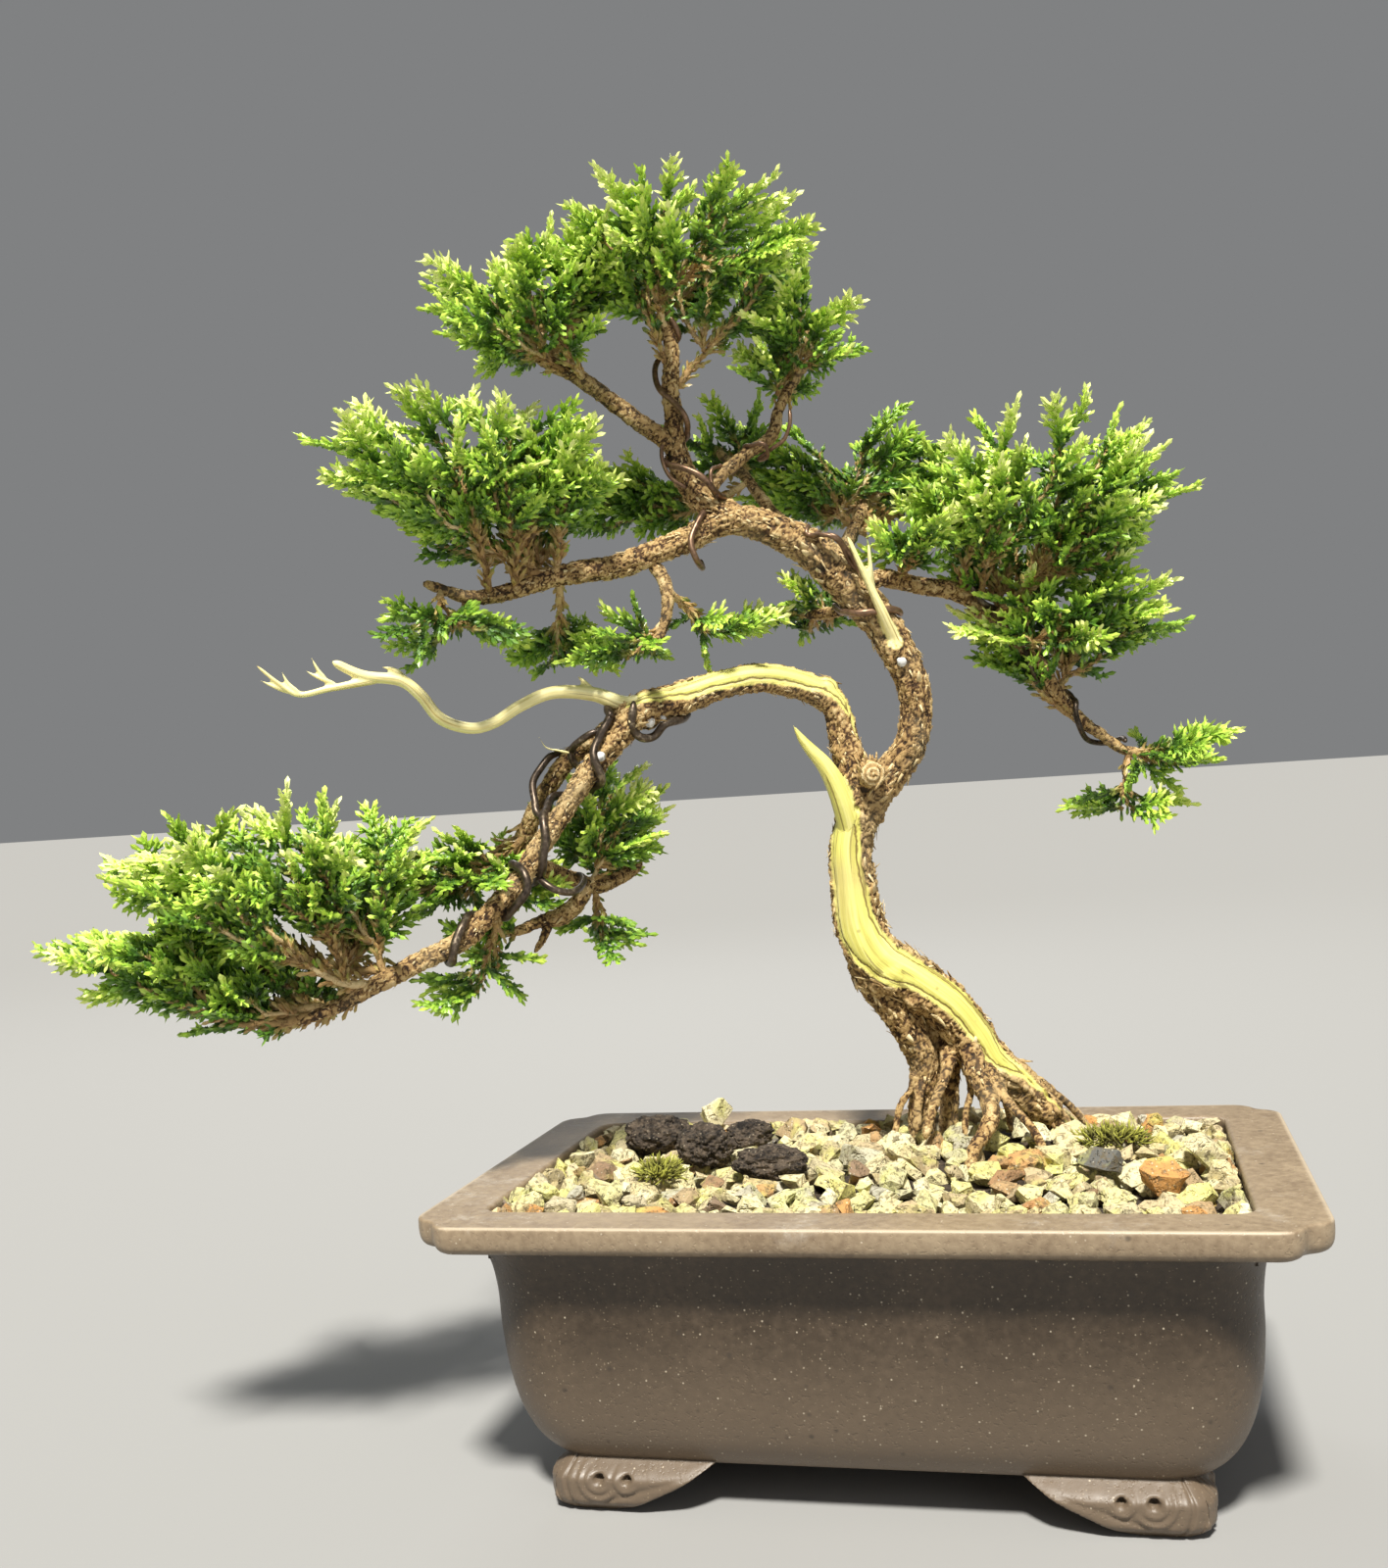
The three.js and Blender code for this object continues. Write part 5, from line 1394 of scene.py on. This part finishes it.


# Each pad is one or more lumps: centre, half-sizes across / deep / high as seen from the tree's front, the
# branch that its twigs leave, the share of the branch where they leave it, and how much painted light its
# leaves get: less for pads that sit in shade
PADS = {
    "foliage_cascade_tip": [([-139, -48, 159], [41, 36, 16], CASCADE_BRANCH, (0.74, 0.98), 1.0)],
    "foliage_cascade_tongue": [([-170, -61, 142], [23, 20, 8], CASCADE_BRANCH, (0.9, 1.0), 1.0)],
    "foliage_cascade_underside": [([-152, -45, 130], [27, 27, 10], CASCADE_BRANCH, (0.82, 1.0), 0.2)],
    "foliage_cascade_middle": [
        ([-107, -14, 154], [31, 26, 15], CASCADE_BACK_BRANCH, (0.6, 1.0), 0.75),
        ([-98, -24, 128], [7, 9, 10], CASCADE_BRANCH, (0.5, 0.56), 0.45),
    ],
    "foliage_cascade_right": [
        ([-72, 11, 164], [17, 25, 19], CASCADE_SIDE_BRANCH, (0.5, 1.0), 0.65),
        ([-72, 3, 137], [4, 5, 8], CASCADE_SIDE_BRANCH, (0.62, 0.7), 0.8),
        ([-92, -17, 141], [7, 7, 6], CASCADE_LOW_TWIG, (0.7, 1.0), 0.6),
    ],
    "foliage_left": [
        ([-91, -31, 260], [35, 28, 19], LEFT_BRANCH, (0.50, 0.84), 1.0),
        ([-70, -18, 255], [16, 20, 14], LEFT_BRANCH, (0.55, 0.75), 0.8),
    ],
    "foliage_left_low": [([-95, -36, 220], [17, 17, 10], LEFT_BRANCH, (0.84, 1.0), 0.4)],
    "foliage_back_left": [([-62, 29, 257], [20, 23, 15], BACK_BRANCH, (0.6, 1.0), 0.5)],
    "foliage_under_left": [([-75, -2, 214], [12, 15, 11], LEFT_BRANCH, (0.5, 0.7), 0.7)],
    "foliage_under_right": [
        ([-52, -10, 213], [11, 15, 11], UNDER_TWIG, (0.4, 1.0), 0.5),
        ([-33, 8, 218], [13, 11, 8], UNDER_TWIG, (0.2, 0.5), 0.9),
    ],
    "foliage_back_low": [([-13, 35, 222], [15, 17, 12], LOW_BACK_TWIG, (0.5, 1.0), 0.45)],
    "foliage_apex_left": [
        ([-78, -15, 301], [22, 30, 19], APEX_LEFT_BRANCH, (0.55, 1.0), 0.95),
        ([-60, -9, 310], [15, 22, 13], APEX_LEFT_BRANCH, (0.8, 1.0), 0.9),
    ],
    "foliage_apex_centre": [([-35, -2, 315], [33, 36, 20], APEX_LEADER, (0.55, 1.0), 1.0)],
    "foliage_apex_right": [([-9, 14, 291], [17, 25, 20], APEX_RIGHT_BRANCH, (0.6, 1.0), 0.9)],
    "foliage_back": [
        ([-4, 55, 262], [34, 27, 18], BACK_RIGHT_BRANCH, (0.5, 1.0), 0.6),
        ([-36, 42, 272], [16, 20, 11], BACK_BRANCH, (0.7, 1.0), 0.45),
    ],
    "foliage_right": [
        ([51, 38, 247], [37, 38, 23], RIGHT_BRANCH, (0.3, 0.6), 1.0),
        ([19, 16, 236], [13, 15, 11], RIGHT_BRANCH, (0.14, 0.3), 0.9),
    ],
    "foliage_right_low": [([57, 36, 212], [27, 28, 17], RIGHT_BRANCH, (0.5, 0.82), 0.85)],
    "foliage_right_tip": [
        ([78, 42, 176], [14, 17, 10], RIGHT_BRANCH, (0.86, 1.0), 0.7),
        ([70, 41, 162], [8, 12, 9], RIGHT_BRANCH, (0.9, 0.96), 0.6),
    ],
}
FROND_GAP, BUD_GAP = 4.8, 0.75  # millimetres between fronds and between scaly shoots on a twig
TWIGS_PER_AREA, TWIGS_PER_STALK = 0.0104, 4.5  # per square millimetre of half-size times half-size
BARK_ONLY = {"bare": 0.0, "edge": -5.0, "pale": 0.0}


def bent(rng, points, step=1.6, wander=0.35):
    """A smooth line through points, with a twig's small kinks."""
    line = smooth_line(points, step)
    kinks = rng.normal(0, wander, (len(line), 3))
    kinks[0] = kinks[-1] = 0
    line[1:-1, :3] += (kinks[:-2] + kinks[1:-1] + kinks[2:]) / 2
    return line


def grow_twigs(rng, centre, half, stem, reach, wood_shells):
    """Brown twigs that fan out from a branch into a lump. Gives back their lines, innermost part first."""
    area = half[0] * half[1] + half[0] * half[2] + half[1] * half[2]
    count = max(3, round(TWIGS_PER_AREA * area))
    turned_axes = np.array(Matrix.Rotation(math.radians(VIEW_TURN), 3, "Z"))
    targets = []
    for k in range(count):
        # a golden angle apart, most of them on the lump's upper shell
        height = 1 - 1.6 * (k + 0.5) / count
        angle = k * math.pi * (3 - math.sqrt(5)) + rng.uniform(-0.4, 0.4)
        flat = math.sqrt(max(0.0, 1 - height * height))
        shell = np.array([flat * math.cos(angle), flat * math.sin(angle), height])
        room = np.maximum(half - [9, 9, 4], half * 0.4)
        target = centre + turned_axes @ (room * shell) * rng.uniform(0.82, 1.0)
        targets.append(target - [0, 0, 3.0 + 2.5 * max(height, 0)])
    targets = np.array(targets)
    groups = max(1, round(count / TWIGS_PER_STALK))
    heads = targets[rng.permutation(count)[:groups]]
    owner = np.linalg.norm(targets[:, None] - heads[None], axis=2).argmin(axis=1)
    lines = []
    for group in range(groups):
        members = targets[owner == group]
        if not len(members):
            continue
        place = reach[0] + (reach[1] - reach[0]) * (group + 0.5) / groups
        start = stem[int(place * (len(stem) - 1)), :3]
        span = np.linalg.norm(members.mean(axis=0) - start)
        sag = np.array([0, 0, -0.10 * span])
        hub = start + (members.mean(axis=0) - start) * 0.40 + sag + rng.normal(0, 0.04 * span, 3)
        half_way = (start + hub) / 2 + sag * 0.3
        stalk = bent(rng, [[*start, 1.1 + span * 0.006], [*half_way, 0.95], [*hub, 0.75]])
        wood_shells.add(*tube(rounded_ends(stalk), 8), relief=rng.uniform(0.4, 0.8), **BARK_ONLY)
        lines.append((stalk, 0.0, 0.42))
        for target in members:
            middle = (hub + target) / 2 + sag * 0.5 + rng.normal(0, 0.05 * span, 3)
            twig = bent(rng, [[*hub, 0.7], [*middle, 0.55], [*target, 0.4]])
            wood_shells.add(*tube(rounded_ends(twig), 6), relief=rng.uniform(0.35, 0.8), **BARK_ONLY)
            lines.append((twig, 0.42, 1.0))
    return lines


def add_leaves(leaves, entry, matrix, place, centre, half, painted_pad_light, fresh):
    """Adds a turned copy of a frond or a bud, its tone darker as painted shade deep inside and low in its
    lump, and lighter as painted light at the lump's outside and top.
    """
    _, vertices, quads, tris, tone = entry
    placed = vertices @ matrix.T + place
    outer = np.linalg.norm((placed - centre) / half, axis=1)
    height = (placed[:, 2] - centre[2]) / half[2]
    # Painted light and shade: leaves at the lump's outside and top are painted lighter, those deep inside and
    # low down darker, and a pad that sits in shade is painted darker as a whole.
    light = 0.5 * smoothstep(0.3, 1.05, outer) + 0.5 * smoothstep(-0.8, 0.75, height)
    tones = tone * (0.58 + 0.50 * light) * (0.72 + 0.32 * painted_pad_light) * fresh
    leaves.add(placed, [quads, tris], tone=np.clip(tones, 0.0, 1))


def clothe(rng, leaves, line, first, last, centre, half, painted_pad_light, library):
    """Brown scaly shoots along a twig's inner part and fronds along its outer part."""
    fronds, buds = library
    path = line[:, :3]
    along = unit(np.gradient(path, axis=0))
    walked = walked_to(path)
    span = walked[-1]
    depth = first + (last - first) * walked / span
    golden = rng.uniform(0, 6)
    for place in np.arange(0.8, span, BUD_GAP):
        index = min(int(np.searchsorted(walked, place)), len(path) - 1)
        if rng.random() < 0.15:
            continue
        golden += 2.4
        across = unit(np.cross(along[index], [math.cos(golden), math.sin(golden), 0.3]))
        direction = unit(along[index] * 0.85 + across * 0.6)
        side = unit(np.cross(across, direction))
        size = rng.uniform(1.0, 1.5) - 0.3 * depth[index]
        matrix = np.stack([direction, side, np.cross(direction, side)], axis=1) * size
        fresh = rng.uniform(0.2, 1.0) + 3.4 * smoothstep(0.42, 0.8, depth[index])
        add_leaves(leaves, buds[rng.integers(3)], matrix, path[index], centre, half, painted_pad_light, fresh)
    spots = [*np.arange(rng.uniform(1, 3), span - 1, FROND_GAP), span]
    for number, place in enumerate(spots):
        index = min(int(np.searchsorted(walked, place)), len(path) - 1)
        share = depth[index]
        if share < 0.50:
            continue
        at_tip = place == span and last == 1.0
        outward = unit((path[index] - centre) / half**2 + np.array([0, 0, 0.006]))
        level = np.array([outward[0], outward[1], 0])
        scatter = rng.normal(0, 1, 3) * (1 if number % 2 else -1)
        sideways = np.zeros(3) if at_tip else unit(scatter - along[index] * (scatter @ along[index]))
        direction = along[index] * 0.85 + sideways * 0.75 + level * 0.5
        direction = unit(direction * [1, 1, 0.42] + [0, 0, 0.08])
        normal = outward * 0.5 + np.array([0, 0, 0.7]) + rng.normal(0, 0.38, 3)
        normal = unit(normal - direction * (normal @ direction))
        matrix = np.stack([direction, np.cross(normal, direction), normal], axis=1)
        wanted = 6 + 7.5 * share + rng.uniform(-1, 3)
        kinds = [i for i, entry in enumerate(fronds) if abs(entry[0] - wanted) <= 2.2]
        entry = fronds[int(rng.choice(kinds)) if kinds else 0]
        fresh = rng.uniform(0.68, 1.18) * (0.62 + 0.38 * share)
        matrix = matrix * rng.uniform(0.92, 1.06)
        add_leaves(leaves, entry, matrix, path[index], centre, half, painted_pad_light, fresh)


def make_foliage():
    library = frond_library()
    for seed, (name, lumps) in enumerate(PADS.items()):
        rng = np.random.default_rng(900 + seed)
        leaves, wood_shells = Shells(), Shells()
        for centre, half, branch, reach, painted_pad_light in lumps:
            centre, half = np.array(centre, float), np.array(half, float)
            lines = grow_twigs(rng, centre, half, smooth_line(branch, 1.0), reach, wood_shells)
            for line, first, last in lines:
                clothe(rng, leaves, line, first, last, centre, half, painted_pad_light, library)
        leaf_piece = build_object(name.replace("foliage", "leaves"), leaves, smooth=False)
        settle(leaf_piece, LEAF, "foliage", name)
        twigs = build_object(name.replace("foliage", "twigs"), wood_shells)
        set_grain(twigs, np.zeros((wood_shells.count, 3)))
        settle(twigs, BARK, "bark")


# ---------------------------------------------------------------- top dressing

OPENING_HALF = (POT_HALF_LENGTH - RIM_WIDTH, POT_HALF_WIDTH - RIM_WIDTH)
MOUND_X, MOUND_Y, MOUND_RISE, MOUND_SPREAD = 28.0, 26.0, 5.0, 34.0  # the rise round the trunk
GRIT_LEVEL, BED_BOTTOM = 68.0, 60.3
STONE_KINDS = 26
# Layers of loose stones: least distance apart, how many, smallest and largest radius, lift, cuts per edge
STONE_LAYERS = [(5.6, 560, (2.7, 4.0), 0.3, 0), (7.2, 320, (3.1, 5.4), 1.9, 3)]
RIM_ROW_GAP = 7.8


def ground(x, y):
    """Height of the top dressing's bed."""
    rise = MOUND_RISE * np.exp(-(((x - MOUND_X) ** 2 + (y - MOUND_Y) ** 2) / MOUND_SPREAD**2))
    return GRIT_LEVEL + rise + 0.8 * np.sin(x * 0.09 + 1) * np.cos(y * 0.11)


def stone_shape(rng, cuts=3):
    """An irregular broken stone about one unit in radius, with a crumbly surface."""
    points = unit(rng.normal(0, 1, (13, 3))) * rng.uniform(0.75, 1.15, (13, 1))
    shape = bmesh.new()
    for point in points:
        shape.verts.new(point)
    bmesh.ops.convex_hull(shape, input=shape.verts)
    loose = [vertex for vertex in shape.verts if not vertex.link_faces]
    bmesh.ops.delete(shape, geom=loose, context="VERTS")
    if cuts:
        bmesh.ops.subdivide_edges(shape, edges=shape.edges[:], cuts=cuts, use_grid_fill=True)
    bmesh.ops.triangulate(shape, faces=shape.faces[:])
    shape.verts.index_update()
    vertices = np.array([v.co[:] for v in shape.verts])
    faces = np.array([[v.index for v in f.verts] for f in shape.faces])
    shape.free()
    seed = int(rng.integers(1000))
    crumbs = 0.11 * value_noise(vertices * 1.9 + seed, 3) + 0.055 * value_noise(vertices * 4.7 + seed, 5)
    return vertices * (1.02 + crumbs[:, None]), faces


def random_turn(rng):
    quaternion = unit(rng.normal(0, 1, 4))
    w, x, y, z = quaternion
    return np.array([
        [1 - 2 * (y * y + z * z), 2 * (x * y - z * w), 2 * (x * z + y * w)],
        [2 * (x * y + z * w), 1 - 2 * (x * x + z * z), 2 * (y * z - x * w)],
        [2 * (x * z - y * w), 2 * (y * z + x * w), 1 - 2 * (x * x + y * y)],
    ])


def scatter(rng, spacing, count):
    """Random places over the opening, none nearer to another than the spacing."""
    places = []
    for _ in range(count * 30):
        x, y = (rng.uniform(-half + 2.2, half - 2.2) for half in OPENING_HALF)
        if all((x - a) ** 2 + (y - b) ** 2 > spacing**2 for a, b in places):
            places.append((x, y))
            if len(places) == count:
                break
    return places


def stone_places(rng):
    """Where the loose stones lie: x, y, range of radius, lift, cuts per edge."""
    places = []
    for spacing, count, *kind in STONE_LAYERS:
        places += [(x, y, *kind) for x, y in scatter(rng, spacing, count)]
    long_half, short_half = (half - 2.9 for half in OPENING_HALF)
    kind = ((3.0, 4.3), 1.8, 3)
    for side in (-1, 1):  # a row pressed against each side of the rim
        places += [(x, side * short_half, *kind) for x in np.arange(-long_half, long_half, RIM_ROW_GAP)]
        places += [(side * long_half, y, *kind) for y in np.arange(-short_half, short_half, RIM_ROW_GAP)]
    return places


def make_grit():
    rng = np.random.default_rng(77)
    stones = {cuts: [stone_shape(rng, cuts) for _ in range(STONE_KINDS)] for cuts in (0, 3)}
    shells = Shells()
    for x, y, sizes, lift, cuts in stone_places(rng):
        size = rng.uniform(*sizes) * (1.25 if rng.random() < 0.12 else 1)
        half = size * np.array([rng.uniform(*span) for span in ((0.9, 1.3), (0.75, 1.05), (0.6, 0.85))])
        vertices, faces = stones[cuts][rng.integers(STONE_KINDS)]
        tumble = turned(vertices @ random_turn(rng).T * half, "X", rng.uniform(-25, 25))
        tumble = turned(tumble, "Z", rng.uniform(0, 360))
        room = OPENING_HALF - np.abs([x, y]) - 0.3
        tumble[:, :2] *= np.minimum(1, room / np.abs(tumble[:, :2]).max(axis=0))
        place = [x, y, ground(x, y) + lift + rng.uniform(-0.5, 0.7)]
        shells.add(tumble + place, [faces], kind=float(rng.random()))
    grit = build_object("grit_stones", shells, smooth=False)
    settle(grit, GRIT, "grit", "grit_layer")


def make_bed():
    """The dark soil that shows between the stones, as a closed slab with an uneven top."""
    columns, rows = 90, 50
    x = np.linspace(-OPENING_HALF[0] + 0.3, OPENING_HALF[0] - 0.3, columns)
    y = np.linspace(-OPENING_HALF[1] + 0.3, OPENING_HALF[1] - 0.3, rows)
    xx, yy = (grid.ravel() for grid in np.meshgrid(x, y))
    flat = np.stack([xx, yy, ground(xx, yy)], axis=1)
    flat[:, 2] += 1.2 * fractal(flat * 0.4, 3, 12) - 0.8
    bottom = flat * [1, 1, 0] + [0, 0, BED_BOTTOM]
    index = np.arange(columns * rows).reshape(rows, columns)
    corners = [index[:-1, :-1], index[:-1, 1:], index[1:, 1:], index[1:, :-1]]
    top_faces = np.stack(corners, axis=-1).reshape(-1, 4)
    rim = np.concatenate([index[0, :-1], index[:-1, -1], index[-1, :0:-1], index[:0:-1, 0]])
    after = np.roll(rim, -1)
    count = columns * rows
    wall = np.stack([rim + count, after + count, after, rim], axis=1)
    shells = Shells()
    shells.add(np.vstack([flat, bottom]), [top_faces, top_faces[:, ::-1] + count, wall])
    settle(build_object("grit_bed", shells), SOIL, "soil")


FEATURE_STONES = {
    "stone_rust": ([71, -25, 74.0], [5.5, 4.5, 4.6], 20, 0.93),
    "stone_slate": ([57, -14, 74.4], [6.5, 4, 4.0], -40, 1.0),
    "stone_sand": ([81, -5, 75], [7, 6, 5.0], 50, 0.27),
    "stone_pale": ([-52, 42, 75], [5.5, 4.5, 5], 12, 0.16),
    "stone_grey": ([-4, -2, 73.6], [6, 4.5, 3.6], -17, 0.47),
}
CAKES = [
    ([-64, 18, 75], [9, 7, 5.5], 17), ([-47, 5, 75], [8, 7, 6], -29),
    ([-25, -13, 74.5], [9, 6, 4.5], 6), ([-38, 20, 74.5], [7, 6, 4], 46),
]
MOSS_CLUMPS = {"moss_left": ([-54, -16, 73.6], [5, 5, 2.2]), "moss_right": ([60, 14, 74.6], [9, 6, 2.4])}
MOSS_BLADES = 420
PASTE_DOTS = [
    (-53.5, -12, 190.5, 1.4), (-50.5, -11, 190, 1.6), (-47.5, -9, 190.5, 1), (-62, -19, 181.5, 1.3),
    (14, 8.6, 201.5, 1.3),
]


def make_feature_stones(rng):
    for name, (place, half, degrees, kind) in FEATURE_STONES.items():
        vertices, faces = stone_shape(rng)
        shells = Shells()
        shells.add(turned(vertices * half * 1.05, "Z", degrees) + place, [faces], kind=kind)
        settle(build_object(name, shells, smooth=False), GRIT, "grit", name)


def make_cakes():
    ball, ball_faces = icosphere(6)
    for number, (place, half, degrees) in enumerate(CAKES):
        coarse, fine = ball * 1.6 + number * 9, ball * 5 + number * 9
        bumps = 1 + 0.24 * fractal(coarse, 3, 31) + 0.17 * fractal(fine, 4, 35)
        bumps -= 0.07 * smoothstep(0.25, 0.5, fractal(fine, 2, 39))
        shells = Shells()
        shells.add(turned(ball * bumps[:, None] * half, "Z", degrees) + place, [ball_faces])
        name = f"fertiliser_cake_{number + 1}"
        settle(build_object(name, shells), CAKE, "fertiliser", name)


def make_moss(rng):
    """Clumps of short tapered blades that lean outwards from a low dome."""
    for name, (place, half) in MOSS_CLUMPS.items():
        shells = Shells()
        for _ in range(MOSS_BLADES):
            spot = rng.uniform(-1, 1, 2)
            if np.linalg.norm(spot) > 1:
                continue
            height = 1 - np.linalg.norm(spot) ** 2
            base = np.array(place) + np.array([*spot, height - 0.6]) * half
            lean = unit(np.array([*spot, 0.6]) + rng.normal(0, 0.6, 3))
            length = rng.uniform(1.2, 4.2)
            blade = [(0, 0.32), (0.5, 0.26), (1, 0.07)]
            line = np.array([[*(base + lean * length * share), radius] for share, radius in blade])
            vertices, faces = tube(line, 4)
            shells.add(vertices, faces, tone=np.repeat([0.1, 0.5, 1.0], 4) * rng.uniform(0.3, 1))
        settle(build_object(name, shells), MOSS, "moss", name)


def make_paste_dots():
    ball, ball_faces = icosphere(3)
    shells = Shells()
    for x, y, z, radius in PASTE_DOTS:
        bumps = 1 + 0.25 * fractal(ball * 1.5 + x, 3, 8)
        shells.add(ball * bumps[:, None] * radius + [x, y, z], [ball_faces])
    settle(build_object("cut_paste", shells), PASTE, "bark")


# ---------------------------------------------------------------- everything

make_camera()
make_lights()
make_floor()
make_pot()
make_wood()
make_wires()
make_foliage()
make_grit()
make_bed()
ground_rng = np.random.default_rng(15)
make_feature_stones(ground_rng)
make_cakes()
make_moss(ground_rng)
make_paste_dots()
